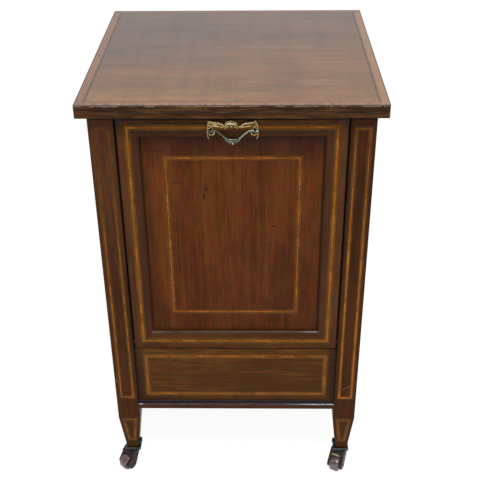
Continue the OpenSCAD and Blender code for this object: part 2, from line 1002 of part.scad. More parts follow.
// Iron bar that the liner hangs on, stood off the door by its ends
module hanger_bar() {
    color(iron)
        difference() {
            union() {
                box([-bar_x, bar_y, bar_z], [bar_x, bar_y + bar_t, bar_z + bar_h]);
                for (side = [LEFT, RIGHT])
                    translate([side * bar_screw_x, door_back_y, bar_z])
                        translate([-bar_foot_w / 2, 0, 0])
                            cube([bar_foot_w, bar_y - door_back_y + eps, bar_h]);
            }
            door_screw_holes();
        }
}

// Batten low on the door that steadies the liner
rest_in = 4;
rest_h = 15;
rest_gap = 0.3;

module liner_rest_batten() {
    color(pine)
        box([rest_in - frame_x, door_back_y, hinge_z + rest_in],
            [frame_x - rest_in, liner_y - rest_gap, hinge_z + rest_in + rest_h]);
}

// Side outline of the liner, shrunk by a wall and raised where it is cut out
module liner_outline(wall, raise) {
    polygon([[liner_y + wall, liner_z + wall], [liner_back_y - wall, liner_z + wall],
        [liner_back_y - wall, liner_back_z + raise], [liner_y + wall, liner_top_z + raise]]);
}

module coal_liner() {
    rim_x = liner_x - liner_wall / 2;
    front = liner_y + liner_wall / 2;
    back = liner_back_y - liner_wall / 2;
    color(iron)
        difference() {
            union() {
                difference() {
                    along_x(-liner_x, liner_x) liner_outline(0, 0);
                    along_x(liner_wall - liner_x, liner_x - liner_wall)
                        liner_outline(liner_wall, 50);
                }
                rod([-rim_x, front, liner_top_z], [rim_x, front, liner_top_z], rim_r);
                rod([-rim_x, back, liner_back_z], [rim_x, back, liner_back_z], rim_r);
                for (side = [LEFT, RIGHT]) {
                    rod([side * rim_x, front, liner_top_z],
                        [side * rim_x, back, liner_back_z], rim_r);
                    translate([side * rim_x, front, liner_top_z]) sphere(rim_r + knuckle);
                    translate([side * rim_x, back, liner_back_z]) sphere(rim_r + knuckle);
                }
            }
            rivet_holes();
        }
}

// Hooks riveted to the liner's front wall, bent over the hanger bar
module liner_hooks() {
    top = bar_z + bar_h + bar_gap;
    color(iron)
        difference() {
            for (side = [LEFT, RIGHT])
                translate([side * hook_x - hook_w / 2, 0, 0]) {
                    box([0, hook_back_y, top - hook_l], [hook_w, liner_y, top + hook_t]);
                    box([0, hook_y, top], [hook_w, liner_y, top + hook_t]);
                    box([0, hook_y, top - hook_lip], [hook_w, hook_y + hook_t, top + hook_t]);
                }
            rivet_holes();
        }
}

// Rivets run through the front wall's hooks and the back wall's lugs
module rivet_places() {
    for (side = [LEFT, RIGHT], end = [-0.5, 0.5]) {
        translate([side * hook_x + end * rivet_pitch, liner_y, bar_z + bar_h + hook_lip - hook_l])
            rotate([-90, 0, 0])
                children();
        translate([side * liner_lug_x, liner_back_y, liner_pull_z + end * liner_rivet_pitch])
            rotate([90, 0, 0])
                children();
    }
}

module rivet_holes() {
    rivet_places() cylinder(h = rivet_hole_l, r = rivet_r, center = true);
}

module liner_rivets() {
    color(iron)
        rivet_places() {
            translate([0, 0, -hook_t])
                cylinder(h = hook_t + liner_wall + rivet_head_t, r = rivet_r);
            translate([0, 0, liner_wall])
                cylinder(h = rivet_head_t, r1 = rivet_head_r, r2 = rivet_head_r - rivet_taper);
        }
}

// Lugs on the liner's back wall: a riveted plate with an eye for the handle
module liner_handle_lugs() {
    eye_r = liner_pull_r + 2.5;
    color(iron)
        difference() {
            for (side = [LEFT, RIGHT]) {
                translate([side * liner_lug_x - liner_lug_w / 2, liner_back_y,
                    liner_pull_z - liner_lug_h / 2])
                    cube([liner_lug_w, hook_t, liner_lug_h]);
                near = side * liner_lug_x - lug_bore_l / 2;
                along_x(near, near + lug_bore_l) {
                    translate([liner_pull_y, liner_pull_z])
                        circle(eye_r);
                    translate([liner_back_y, liner_pull_z - eye_r])
                        square([liner_pull_out, 2 * eye_r]);
                }
            }
            rod([-liner_pull_w, liner_pull_y, liner_pull_z],
                [liner_pull_w, liner_pull_y, liner_pull_z], liner_pull_r + run_clearance);
            rivet_holes();
        }
}

// Loop of iron rod that lifts the liner out
module liner_handle() {
    x = liner_pull_w / 2;
    low = liner_pull_z - liner_pull_drop;
    color(iron)
        union() {
            for (side = [LEFT, RIGHT]) {
                rod([side * x, liner_pull_y, liner_pull_z],
                    [side * (liner_lug_x + lug_bore_l / 2 + past), liner_pull_y, liner_pull_z],
                    liner_pull_r);
                translate([side * x, liner_pull_y, liner_pull_z]) sphere(liner_pull_r + knuckle);
                rod([side * x, liner_pull_y, liner_pull_z], [side * x, liner_pull_y, low],
                    liner_pull_r);
                translate([side * x, liner_pull_y, low]) sphere(liner_pull_r + knuckle);
            }
            rod([-x, liner_pull_y, low], [x, liner_pull_y, low], liner_pull_r);
        }
}

// ---- Door handle ---------------------------------------------------------

post_shank_r = 1.8;
nut_r = 4;
nut_t = 3;
nut_room = 1;

// Moves to each post's axis, +Z pointing out of the door
module handle_post_places() {
    for (side = [LEFT, RIGHT])
        translate([handle_x + side * handle_w / 2, door_y, handle_z])
            rotate([90, 0, 0])
                children();
}

// Moves to the bottom of each nut's pocket in the door's back
module handle_nut_places() {
    for (side = [LEFT, RIGHT])
        translate([handle_x + side * handle_w / 2, door_back_y - nut_t, handle_z])
            rotate([-90, 0, 0])
                children();
}

// A bar of the backplate's outline, rounded where it ends
module plate_bar(from, to, w) {
    step = to - from;
    translate(to)
        circle(w / 2 + knuckle);
    translate(from)
        rotate(atan2(step[1], step[0]))
            translate([0, -w / 2])
                square([norm(step), w]);
}

// Right half of the ribbon's centre line, from the flower over the wing to the post
RIBBON = [[8, 9], [handle_w / 2 - 16, 8], [handle_w / 2 - 10, 11], [handle_w / 2 - 2, 12],
    [handle_w / 2 + 1, 7], [handle_w / 2, 0]];
RIBBON_W = [5, 5, 5, 4.5, 4.5];
flower_r = 6.2;
flower_z = 10.5;
post_boss_r = 4.6;
tip_w = 3;

// Openwork ribbon: rising wings, a middle flower and pendant tips under the posts
module backplate_outline() {
    post = RIBBON[len(RIBBON) - 1];
    translate([0, flower_z])
        circle(flower_r);
    translate([0, RIBBON[0][1]])
        square([20, 4.8], center = true);
    for (side = [0, 1])
        mirror([side, 0]) {
            for (i = [0 : len(RIBBON_W) - 1])
                plate_bar(RIBBON[i], RIBBON[i + 1], RIBBON_W[i]);
            translate(post)
                circle(post_boss_r);
            plate_bar(post, post + [1.5, -8.5], tip_w);
            plate_bar(post - [0, 2], post - [4, 3.5], tip_w);
        }
}

module handle_backplate() {
    color(brass)
        difference() {
            translate([handle_x, 0, handle_z])
                along_y(door_y - backplate_t, backplate_t)
                    backplate_outline();
            post_holes();
        }
}

// Posts with a cross hole for the bail, a threaded shank and a nut behind the door
module handle_posts() {
    color(brass)
        for (side = [LEFT, RIGHT])
            translate([handle_x + side * handle_w / 2, 0, handle_z])
                difference() {
                    union() {
                        rod([0, door_y - backplate_t, 0], [0, door_y - post_out, 0], post_r);
                        rod([0, door_y - backplate_t - eps, 0], [0, door_back_y, 0],
                            post_shank_r);
                        translate([0, door_back_y - nut_t, 0])
                            rotate([-90, 0, 0])
                                cylinder(h = nut_t, r = nut_r, $fn = 6);
                    }
                    rod([-10, bail_y, 0], [10, bail_y, 0], bail_pin_r + run_clearance);
                }
}

// Bosses at the bail's bends, and a collar in the middle of its grip
bend_boss = 0.3;
collar_out = 0.5;
collar_l = 4;

module bend(at, r) {
    translate(at)
        along_y(-r, 2 * r)
            circle(r);
}

// Swan-necked bail: pins in the posts, falling arms and a thickened grip
module handle_bail() {
    grip_r = bail_r + 0.7;
    color(brass)
        translate([handle_x, bail_y, handle_z]) {
            rod([-collar_l / 2, 0, -bail_drop], [collar_l / 2, 0, -bail_drop],
                grip_r + collar_out);
            for (side = [LEFT, RIGHT]) {
                pin = [side * (handle_w / 2 + post_r + 0.6), 0, 0];
                elbow = [side * (handle_w / 2 - post_r - 2.4), 0, 0];
                neck = elbow - [side * 3.5, 0, 0.8];
                shoulder = [side * 9.5, 0, 1.6 - bail_drop];
                rod(elbow, pin, bail_pin_r);
                rod(elbow, neck, bail_r);
                rod(neck, shoulder, bail_r);
                rod(shoulder, [0, 0, -bail_drop], grip_r);
                bend(elbow, bail_r + bend_boss);
                bend(neck, bail_r + bend_boss);
                bend(shoulder, grip_r + bend_boss);
            }
        }
}

// ---- Casters -------------------------------------------------------------

// Plate under the foot, its lugs turned up the two inner faces of the leg
module caster_plate() {
    low = foot_z - plate_t;
    half = foot_w / 2;
    lean = lug_h * tan(taper_angle);
    lug_low = [-foot_w, -foot_w, low];
    lug_high = [foot_w, foot_w, foot_z + lug_h];
    difference() {
        union() {
            box([-half - plate_out, -half - plate_out, low],
                [half + lug_t, half + lug_t, foot_z]);
            intersection() {
                along_y(-lug_w / 2, lug_w) lug_outline(half, low, lean);
                box(lug_low, lug_high);
            }
            intersection() {
                along_x(-lug_w / 2, lug_w / 2) lug_outline(half, low, lean);
                box(lug_low, lug_high);
            }
        }
        translate([0, 0, low - past])
            cylinder(h = plate_t + 2 * past, r = kingpin_r);
    }
}

module lug_outline(half, low, lean) {
    polygon([[half, low], [half + lug_t, low], [half + lug_t, foot_z],
        [half + lug_t + lean, foot_z + lug_h], [half + lean, foot_z + lug_h], [half, foot_z]]);
}

// Turns a caster part so that its lugs meet the inner faces of each leg
module at_each_foot() {
    for (corner = CORNERS)
        translate([corner[0] * leg_x, corner[1] * leg_y, 0])
            mirror([corner[0] == RIGHT ? 1 : 0, 0, 0])
                mirror([0, corner[1] == REAR ? 1 : 0, 0])
                    children();
}

// Moves to the two lug screws of every caster, +Z out of the leg
module caster_screw_places() {
    up = lug_h * 0.56;
    out = foot_w / 2 + lug_t + up * tan(taper_angle);
    at_each_foot() {
        translate([out, 0, foot_z + up])
            rotate([0, 90 + taper_angle, 0])
                children();
        translate([0, out, foot_z + up])
            rotate([-90 - taper_angle, 0, 0])
                children();
    }
}

module caster_plates() {
    color(bronze)
        difference() {
            at_each_foot() caster_plate();
            caster_screw_places() screw_hole(caster_screw_l);
        }
}

module caster_screws() {
    color(bronze)
        caster_screw_places() screw(caster_screw_l);
}

// Kingpins, riveted over the plates and headed under the horns
module caster_kingpins() {
    low = crown_z - crown_t - crown_gap;
    color(bronze)
        for (corner = CORNERS)
            translate([corner[0] * leg_x, corner[1] * leg_y, 0]) {
                translate([0, 0, low - past])
                    cylinder(h = foot_z + 2 * past - low, r = kingpin_r - glue_line);
                for (z = [low - kingpin_head_t, foot_z])
                    translate([0, 0, z])
                        cylinder(h = kingpin_head_t, r = kingpin_head_r);
            }
}

// Moves to one corner's kingpin and turns +X along the trail
module at_caster(side, end, heading) {
    translate([side * leg_x, end * leg_y, 0])
        rotate(heading)
            children();
}

// Outline joining two round ends
module link_outline(from, r1, to, r2) {
    step = to - from;
    length = norm(step);
    lean = acos((r1 - r2) / length);
    translate(from)
        rotate(atan2(step[1], step[0])) {
            circle(r1 + knuckle);
            translate([length, 0])
                circle(r2 + knuckle);
            polygon([[r1 * cos(lean), r1 * sin(lean)],
                [length + r2 * cos(lean), r2 * sin(lean)],
                [length + r2 * cos(lean), -r2 * sin(lean)],
                [r1 * cos(lean), -r1 * sin(lean)]]);
        }
}

// Side of the hood that comes down from the crown over the roller
module hood_outline(low, top) {
    lip_x = caster_trail - hood_lip_in;
    polygon([[0, low], [0, top], [hood_flat, top], [lip_x, wheel_d + wheel_room + hood_t],
        [lip_x, wheel_d - hood_lip_drop], [hood_under_x, low]]);
}

// Hooded horn and its axle, trailing along +X from the kingpin
module horn() {
    inside = wheel_w / 2 + cheek_gap;
    outside = inside + cheek_t;
    axle_half = outside + axle_out;
    low = crown_z - crown_t;
    top = crown_z - hood_inset;
    color(bronze) {
        difference() {
            union() {
                translate([0, 0, low])
                    cylinder(h = crown_t, r = crown_r);
                along_y(hood_inset - outside, 2 * (outside - hood_inset))
                    hood_outline(low + hood_inset, top);
                for (y = [-outside, inside])
                    along_y(y, cheek_t)
                        link_outline([cheek_top_x, top - hood_inset - cheek_top_r], cheek_top_r,
                            [caster_trail, wheel_r], axle_boss_r);
            }
            translate([0, 0, low - past])
                cylinder(h = crown_t + 2 * past, r = kingpin_r + run_clearance - glue_line);
            rod([caster_trail, -outside - past, wheel_r], [caster_trail, outside + past, wheel_r],
                axle_r + joint_clearance);
            translate([caster_trail, -inside, wheel_r])
                rotate([-90, 0, 0])
                    cylinder(h = 2 * inside, r = wheel_r + wheel_room);
        }
        rod([caster_trail, -axle_half, wheel_r], [caster_trail, axle_half, wheel_r], axle_r);
    }
}

module front_left_horn() { at_caster(LEFT, FRONT, front_left_heading) horn(); }
module front_right_horn() { at_caster(RIGHT, FRONT, front_right_heading) horn(); }
module rear_left_horn() { at_caster(LEFT, REAR, rear_left_heading) horn(); }
module rear_right_horn() { at_caster(RIGHT, REAR, rear_right_heading) horn(); }

// Glazed roller with rounded shoulders and a plain bore
module wheel() {
    shoulder = 2.5;
    color(glazed)
        translate([caster_trail, wheel_w / 2, wheel_r])
            rotate([90, 0, 0])
                rotate_extrude() {
                    translate([axle_r + run_clearance, 0])
                        square([wheel_r - shoulder - axle_r - run_clearance, wheel_w]);
                    translate([wheel_r - shoulder - eps, shoulder])
                        square([shoulder + eps, wheel_w - 2 * shoulder]);
                    for (y = [shoulder, wheel_w - shoulder])
                        translate([wheel_r - shoulder, y])
                            circle(shoulder);
                }
}

module front_left_wheel() { at_caster(LEFT, FRONT, front_left_heading) wheel(); }
module front_right_wheel() { at_caster(RIGHT, FRONT, front_right_heading) wheel(); }
module rear_left_wheel() { at_caster(LEFT, REAR, rear_left_heading) wheel(); }
module rear_right_wheel() { at_caster(RIGHT, REAR, rear_right_heading) wheel(); }

top_board();
top_banding();
top_stringing();
front_left_leg();
front_right_leg();
rear_left_leg();
rear_right_leg();
leg_banding();
leg_stringing();
foot_inlay();
left_side_panel();
right_side_panel();
back_panel();
bottom_board();
apron_panel();
apron_banding();
apron_stringing();
base_moulding();
door_stop_rail();
side_rails();
back_rails();
corner_blocks();
pivot_bushes();
stay_keepers();
keeper_screws();
caster_plates();
caster_screws();
caster_kingpins();
door_left_stile();
door_right_stile();
door_top_rail();
door_bottom_rail();
door_panel();
panel_bead();
door_banding();
door_stringing();
panel_banding();
panel_stringing();
pivot_pins();
door_stays();
door_screws();
hanger_bar();
liner_rest_batten();
coal_liner();
liner_hooks();
liner_rivets();
liner_handle_lugs();
liner_handle();
handle_backplate();
handle_posts();
handle_bail();
front_left_horn();
front_right_horn();
rear_left_horn();
rear_right_horn();
front_left_wheel();
front_right_wheel();
rear_left_wheel();
rear_right_wheel();
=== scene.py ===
import json
import math

import bmesh
import bpy
import numpy as np
from mathutils import Matrix, Vector


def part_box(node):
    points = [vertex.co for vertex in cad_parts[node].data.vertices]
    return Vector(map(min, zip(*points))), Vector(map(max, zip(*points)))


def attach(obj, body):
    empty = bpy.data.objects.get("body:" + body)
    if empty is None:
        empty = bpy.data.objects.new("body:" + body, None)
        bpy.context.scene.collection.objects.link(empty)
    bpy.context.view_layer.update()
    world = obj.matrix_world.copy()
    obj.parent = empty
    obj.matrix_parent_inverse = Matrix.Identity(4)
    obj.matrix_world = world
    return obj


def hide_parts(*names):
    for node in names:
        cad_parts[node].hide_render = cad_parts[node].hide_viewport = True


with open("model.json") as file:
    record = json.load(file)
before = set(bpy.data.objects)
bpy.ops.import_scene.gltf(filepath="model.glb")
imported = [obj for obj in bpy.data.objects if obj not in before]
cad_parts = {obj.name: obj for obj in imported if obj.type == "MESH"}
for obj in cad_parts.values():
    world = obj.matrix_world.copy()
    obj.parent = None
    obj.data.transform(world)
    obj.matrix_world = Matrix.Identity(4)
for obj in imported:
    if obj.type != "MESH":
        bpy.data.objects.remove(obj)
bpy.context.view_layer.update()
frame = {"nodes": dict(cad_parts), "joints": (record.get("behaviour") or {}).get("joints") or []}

nodes = frame["nodes"]

# ---- Camera --------------------------------------------------------------
# The camera stands in front of the cabinet, a little right of its middle and above
# it, where it was fitted to the photograph, and looks down by about 32 degrees.


def add_object(name, data):
    """Puts a new object in the scene."""
    made = bpy.data.objects.new(name, data)
    bpy.context.scene.collection.objects.link(made)
    return made


camera_place = Vector((0.03056, -1.22385, 1.08791))
camera_turn = math.radians(-1.19)
camera_tip = math.radians(31.68)
camera_roll = math.radians(-0.60)

ahead = Vector((math.sin(camera_turn) * math.cos(camera_tip),
                math.cos(camera_turn) * math.cos(camera_tip), -math.sin(camera_tip)))
right = Vector((math.cos(camera_turn), -math.sin(camera_turn), 0))
down = ahead.cross(right)
picture_x = right * math.cos(camera_roll) - down * math.sin(camera_roll)
picture_y = right * math.sin(camera_roll) + down * math.cos(camera_roll)
lens = bpy.data.cameras.new("camera")
lens.lens = 66
lens.sensor_width = 36
camera = add_object("camera", lens)
camera.matrix_world = (Matrix.Translation(camera_place)
                       @ Matrix((picture_x, -picture_y, -ahead)).transposed().to_4x4())
bpy.context.scene.camera = camera

# ---- Floor and light -----------------------------------------------------
# A plain white floor that keeps the cabinet's shadow, a white room, one broad lamp
# overhead and one weak lamp on the front.


def tint(red, green, blue):
    """A screen colour, 0 to 255, as the linear colour that a shader takes."""
    def linear(c):
        c /= 255
        return c / 12.92 if c <= 0.04045 else ((c + 0.055) / 1.055) ** 2.4
    return (linear(red), linear(green), linear(blue), 1.0)


class Wire:
    """A node's output. Sums on it add Math nodes."""

    def __init__(self, finish, socket):
        self.finish = finish
        self.socket = socket

    def __add__(self, other):
        return self.finish.math("ADD", self, other)

    __radd__ = __add__

    def __sub__(self, other):
        return self.finish.math("SUBTRACT", self, other)

    def __rsub__(self, other):
        return self.finish.math("SUBTRACT", other, self)

    def __mul__(self, other):
        return self.finish.math("MULTIPLY", self, other)

    __rmul__ = __mul__

    def __truediv__(self, other):
        return self.finish.math("DIVIDE", self, other)

    def __rtruediv__(self, other):
        return self.finish.math("DIVIDE", other, self)

    def __or__(self, other):
        """The larger value: where either of two masks covers."""
        return self.finish.math("MAXIMUM", self, other)

    __ror__ = __or__

    def __abs__(self):
        return self.finish.math("ABSOLUTE", self)


class Finish:
    """A tree of shader nodes, for one material or for the world."""

    def __init__(self, owner):
        self.owner = owner
        owner.use_nodes = True
        self.tree = owner.node_tree
        self.tree.nodes.clear()

    def node(self, kind, settings=None, sockets=None, output=0):
        """Adds a node, sets it up, fills its sockets and returns one of its outputs."""
        made = self.tree.nodes.new("ShaderNode" + kind)
        for name, value in (settings or {}).items():
            if name == "stops":
                ramp = made.color_ramp
                while len(ramp.elements) < len(value):
                    ramp.elements.new(1)
                for element, (place, colour) in zip(ramp.elements, value):
                    element.position = place
                    element.color = colour
            else:
                setattr(made, name, value)
        for name, value in (sockets or {}).items():
            if isinstance(value, Wire):
                self.tree.links.new(value.socket, made.inputs[name])
            else:
                made.inputs[name].default_value = value
        return Wire(self, made.outputs[output]) if made.outputs else None

    def math(self, operation, *values):
        return self.node("Math", {"operation": operation}, dict(enumerate(values)))

    def mix(self, factor, first, second, blend="MIX"):
        """Mixes two colours."""
        return self.node("Mix", {"data_type": "RGBA", "blend_type": blend},
                         {0: factor, 6: first, 7: second}, 2)

    def step(self, value, low, high):
        """Rises smoothly from 0 at low to 1 at high."""
        return self.node("MapRange", {"interpolation_type": "SMOOTHSTEP"},
                         {"Value": value, "From Min": low, "From Max": high})

    def ramp(self, value, *stops):
        """The colour at that value between stops, each (place, colour)."""
        return self.node("ValToRGB", {"stops": stops}, {"Fac": value})


def seen_directly(finish):
    """1 for what the camera, a gloss or glass sees, 0 for the light on the object."""
    seen = finish.node("LightPath", output="Is Camera Ray")
    for ray in ("Is Glossy Ray", "Is Transmission Ray"):
        seen = seen | finish.node("LightPath", output=ray)
    return seen


bpy.context.scene.view_settings.view_transform = "Standard"
room_light = 0.25
world = bpy.data.worlds.new("room")
bpy.context.scene.world = world
room = Finish(world)
room_strength = seen_directly(room) * (1 - room_light) + room_light
room.node("OutputWorld", sockets={"Surface": room.node(
    "Background", sockets={"Color": (1, 1, 1, 1), "Strength": room_strength})})

floor_mesh = bpy.data.meshes.new("floor")
floor_mesh.from_pydata([(-9, -9, 0), (9, -9, 0), (9, 9, 0), (-9, 9, 0)], [], [(0, 1, 2, 3)])
paper = Finish(bpy.data.materials.new("floor_white"))
paper_seen = seen_directly(paper)
paper_lit = paper.node("BsdfDiffuse", sockets={"Color": tint(250, 250, 250)})
shadow_faded = 0.7
floor_glow = 0.9
paper_shade = paper.node("MixShader", sockets={0: paper_seen * shadow_faded, 1: paper_lit})
paper_white = paper.node("Emission", sockets={
    "Color": (1, 1, 1, 1), "Strength": paper_seen * floor_glow})
paper.node("OutputMaterial", sockets={"Surface": paper.node(
    "AddShader", sockets={0: paper_shade, 1: paper_white})})
floor_mesh.materials.append(paper.owner)
add_object("floor", floor_mesh)


def lamp(name, place, aim, size, power):
    """A soft round lamp that faces a point."""
    light = bpy.data.lights.new(name, "AREA")
    light.shape = "DISK"
    light.size = size
    light.energy = power
    holder = add_object(name, light)
    holder.location = place
    holder.rotation_euler = (Vector(aim) - Vector(place)).to_track_quat("-Z", "Y").to_euler()


lamp("overhead", (0.25, -0.95, 2.3), (0, -0.1, 0.45), 1.1, 36)
lamp("front", (-0.5, -2.6, 1.3), (0, -0.2, 0.3), 1.6, 12)

# ---- Top -----------------------------------------------------------------
# A mahogany board with its grain from side to side, with a painted grey reflection at the
# back. It is crossbanded in satinwood between dark strings, and its front arris is chipped.


class Surface(Finish):
    """A material with one Principled shader, whose colour is laid on in coats."""

    def __init__(self, name, shader, edge=0.0006):
        super().__init__(bpy.data.materials.new(name))
        self.tree.nodes.new("ShaderNodeBsdfPrincipled").name = "shader"
        self.shader = self.tree.nodes["shader"]
        self.set(shader)
        self.node("OutputMaterial", sockets={"Surface": Wire(self, self.shader.outputs[0])})
        self.place = self.node("TexCoord", output="Object")
        self.edge = edge
        self.colour = None

    def set(self, sockets):
        """Gives sockets of the shader their values or links."""
        for name, value in sockets.items():
            if isinstance(value, Wire):
                self.tree.links.new(value.socket, self.shader.inputs[name])
            else:
                self.shader.inputs[name].default_value = value

    def paint(self, mask, colour):
        """Covers the colour so far where the mask is 1."""
        self.colour = self.mix(mask, self.colour, colour)

    def stain(self, mask, *shares):
        """Multiplies the red, green and blue so far where the mask is 1."""
        self.colour = self.mix(mask, self.colour, shares + (1.0,), "MULTIPLY")

    def axis(self, name):
        """The place along X, Y or Z, in metres."""
        return self.node("SeparateXYZ", sockets={0: self.place}, output=name)

    def noise(self, scale, seed=0.0, detail=3.0, roughness=0.5, distortion=0.0):
        """Noise from 0 to 1. scale is the number of patches in a metre along X, Y and Z."""
        moved = self.node("Mapping", sockets={
            "Vector": self.place, "Location": (seed, seed * 0.7, seed * 1.3), "Scale": scale})
        return self.node("TexNoise", sockets={
            "Vector": moved, "Scale": 1.0, "Detail": detail, "Roughness": roughness,
            "Distortion": distortion}, output="Fac")

    def slices(self, along, scale, detail, roughness=0.6):
        """Noise from 0 to 1 that changes along one value only."""
        return self.node("TexNoise", {"noise_dimensions": "1D"}, {
            "W": along, "Scale": scale, "Detail": detail, "Roughness": roughness}, "Fac")

    def softened(self, radius):
        """The normal with its arrises rounded by that radius."""
        return self.node("Bevel", {"samples": 4}, {"Radius": radius}, "Normal")

    def worn(self, reach):
        """1 along the arrises, 0 on flat faces."""
        flat = self.node("NewGeometry", output="Normal")
        level = self.node("VectorMath", {"operation": "DOT_PRODUCT"},
                          {0: self.softened(reach), 1: flat}, "Value")
        return 1 - self.step(level, 0.8, 0.99)

    def relief(self, height, depth):
        """Bump of that depth in metres, over arrises softened by the edge radius."""
        self.set({"Normal": self.node("Bump", sockets={
            "Strength": 1.0, "Distance": depth, "Height": height,
            "Normal": self.softened(self.edge)}, output="Normal")})

    def spots(self, across, up, marks):
        """1 inside round or long marks, each (across, up, half width, half height) in mm."""
        mask = None
        for x, z, half_w, half_h in marks:
            dx = (across - x / 1000) / (half_w / 1000)
            dz = (up - z / 1000) / (half_h / 1000)
            spot = 1 - self.step(dx * dx + dz * dz, 0.3, 1.4)
            mask = spot if mask is None else mask | spot
        return mask

    def slash(self, across, up, x1, z1, x2, z2, half_w):
        """1 along a slanting line between two points, given in mm."""
        length = math.hypot(x2 - x1, z2 - z1)
        c = (x2 - x1) / length
        s = (z2 - z1) / length
        middle = ((x1 + x2) / 2, (z1 + z2) / 2)
        return self.spots(across * c + up * s, up * c - across * s, [
            (middle[0] * c + middle[1] * s, middle[1] * c - middle[0] * s, length / 2, half_w)])


def stretched(grain, across, along):
    """Noise scale for a grain that runs along X, Y or Z."""
    return tuple(along if axis == grain else across for axis in "XYZ")


def scaled(colour, share):
    """A colour with that share of its light."""
    return tuple(share * c for c in colour[:3]) + (1.0,)


def shades(red, green, blue, dark=0.68, light=1.36):
    """A middle tone between a darker and a lighter one."""
    return [scaled(tint(red, green, blue), share) for share in (dark, 1.0, light)]


def wood(name, grain, middle, seed, polish=0.04, rough=(0.34, 0.5), pores=0.3, contrast=1.0):
    """Old polished wood about a middle tone: its figure, streaks and open pores along the
    grain, and paler rubbed arrises."""
    dark, even, light = shades(*middle)
    plank = Surface(name, {"Specular IOR Level": 0.05, "Coat Weight": polish,
                           "Coat Roughness": 0.3})
    broad = plank.noise(stretched(grain, 16, 3), seed, 3, 0.5, 0.6)
    mottle = plank.noise(stretched(grain, 75, 28), seed + 1, 3, 0.55, 0.4)
    streak = plank.noise(stretched(grain, 210, 6), seed + 3, 4, 0.6, 0.3)
    fine = plank.noise(stretched(grain, 460, 14), seed + 7, 3, 0.7)
    pore = plank.step(plank.noise(stretched(grain, 1500, 90), seed + 11, 2, 0.6), 0.58, 0.72)
    tone = 0.5 + contrast * (1.1 * (broad - 0.5) + 0.7 * (mottle - 0.5)
                             + 0.8 * (streak - 0.5) + 0.9 * (fine - 0.5))
    warm_cool = plank.ramp(plank.noise(stretched(grain, 110, 40), seed + 23, 4, 0.65),
                           (0.34, (1.14, 0.88, 0.86, 1)), (0.66, (0.92, 1.10, 1.0, 1)))
    plank.colour = plank.mix(1.0, plank.ramp(tone, (0.1, dark), (0.5, even), (0.9, light)),
                             warm_cool, "MULTIPLY")
    plank.paint(pore * pores, scaled(dark, 0.5))
    wear = plank.noise((30, 30, 30), seed + 17, 4, 0.6)
    rubbed = plank.worn(0.0012) * plank.step(wear, 0.35, 0.65)
    plank.paint(rubbed * 0.55, scaled(light, 1.15))
    plank.set({"Roughness": rough[0] + (rough[1] - rough[0]) * wear + pore * 0.08})
    plank.relief(streak * 0.35 + fine * 0.4 - pore * 0.6, 0.00006)
    return plank


def dress(surface, *names):
    """Gives a surface its colour and puts it on the nodes of those names."""
    surface.set({"Base Color": surface.colour})
    for name in names:
        for slot in nodes[name].material_slots:
            slot.material = surface.owner


top = wood("top_mahogany", "X", (109, 74, 41), 4.0, rough=(0.4, 0.5), pores=0.4, contrast=1.35)
top_x = top.axis("X")
top_y = top.axis("Y")
top_z = top.axis("Z")
top_face = top.step(top_z, 0.6512, 0.6519)
# A painted grey reflection towards the back and the left, in cloudy patches.
top_sheen_patches = top.noise((7, 5, 3), 9.0, 3)
top_sheen_back = top.step(top_y, -0.14, 0.16) * 0.62 - top.step(top_x, -0.15, 0.19) * 0.3
top_grey_reflection = (top_sheen_back + (top_sheen_patches - 0.4) * 0.9) | 0.0
top.stain(top_grey_reflection, 0.38, 0.52, 1.8)
# Paler along the front, with faint bars and single marks across the grain.
top_front = top.step(top_y, -0.125, -0.178)
top.stain(top_front * 0.65, 1.75, 1.85, 1.6)
top_across = top.noise((38, 1.6, 1), 14.0, 5, 0.65)
top.stain(top.step(top_across, 0.44, 0.62) * 0.45, 0.62, 0.6, 0.7)
top_streaks = top.spots(top_x, top_y, [
    (-31, 90, 4.5, 95), (-75, -27, 70, 2.2), (130, -18, 26, 2.4)])
top.paint(top_streaks * 0.3, tint(72, 52, 44))
top_light = top.spots(top_x, top_y, [(-30, -16, 60, 2.0), (70, 20, 60, 9), (118, -120, 40, 12)])
top.paint(top_light * 0.3, tint(140, 102, 72))
top_knot = top.spots(top_x, top_y, [
    (50.5, -59, 2.2, 4.0), (-150, -70, 1.5, 2.0), (20, 120, 1.4, 2.6)])
top.paint(top_knot * 0.6, tint(72, 52, 48))

# The edges are dark with paler streaks, and their upper arris is chipped and rubbed, with a
# painted highlight.
top_face_colour = top.colour
top.colour = top.mix(top.step(top_z, 0.640, 0.6345), tint(64, 42, 26), tint(88, 58, 30))
top.paint(top.step(top.noise((20, 20, 520), 2.0, 4, 0.7), 0.42, 0.6) * 0.85, tint(44, 27, 17))
top.paint(top.step(top.noise((26, 26, 560), 5.0, 4, 0.7), 0.5, 0.64) * 0.5, tint(112, 80, 46))
top_chips = top.step(top.noise((110, 60, 60), 31.0, 3, 0.7), 0.5, 0.62)
top_rubbed_arris_highlight = top.step(top_z, 0.6496, 0.6506) * (1 - top_chips * 0.9)
top.paint(top_rubbed_arris_highlight * 0.8, top.ramp(
    top.noise((75, 1, 1), 12.0, 3, 0.6),
    (0.4, tint(72, 52, 40)), (0.52, tint(172, 138, 98)), (0.8, tint(160, 170, 188))))
top.set({"Coat Weight": top_face * 0.8})
top.paint(top_face, top_face_colour)
dress(top, "top_board")

cross = Surface("top_crossband", {
    "Specular IOR Level": 0.05, "Coat Weight": 0.8, "Coat Roughness": 0.3})
cross_x = cross.axis("X")
cross_y = cross.axis("Y")
cross_run = cross_x + cross_y * 1.31
cross_cut = cross.slices(cross_run, 190.0, 3.0)
cross_patch = cross.noise((38, 38, 38), 3.0, 3, 0.6)
cross.colour = cross.ramp(
    cross_cut * 0.7 + cross_patch * 0.35,
    (0.3, tint(76, 48, 34)), (0.52, tint(128, 84, 54)), (0.75, tint(154, 106, 65)))
top_half_w = 0.2
top_half_d = 0.196
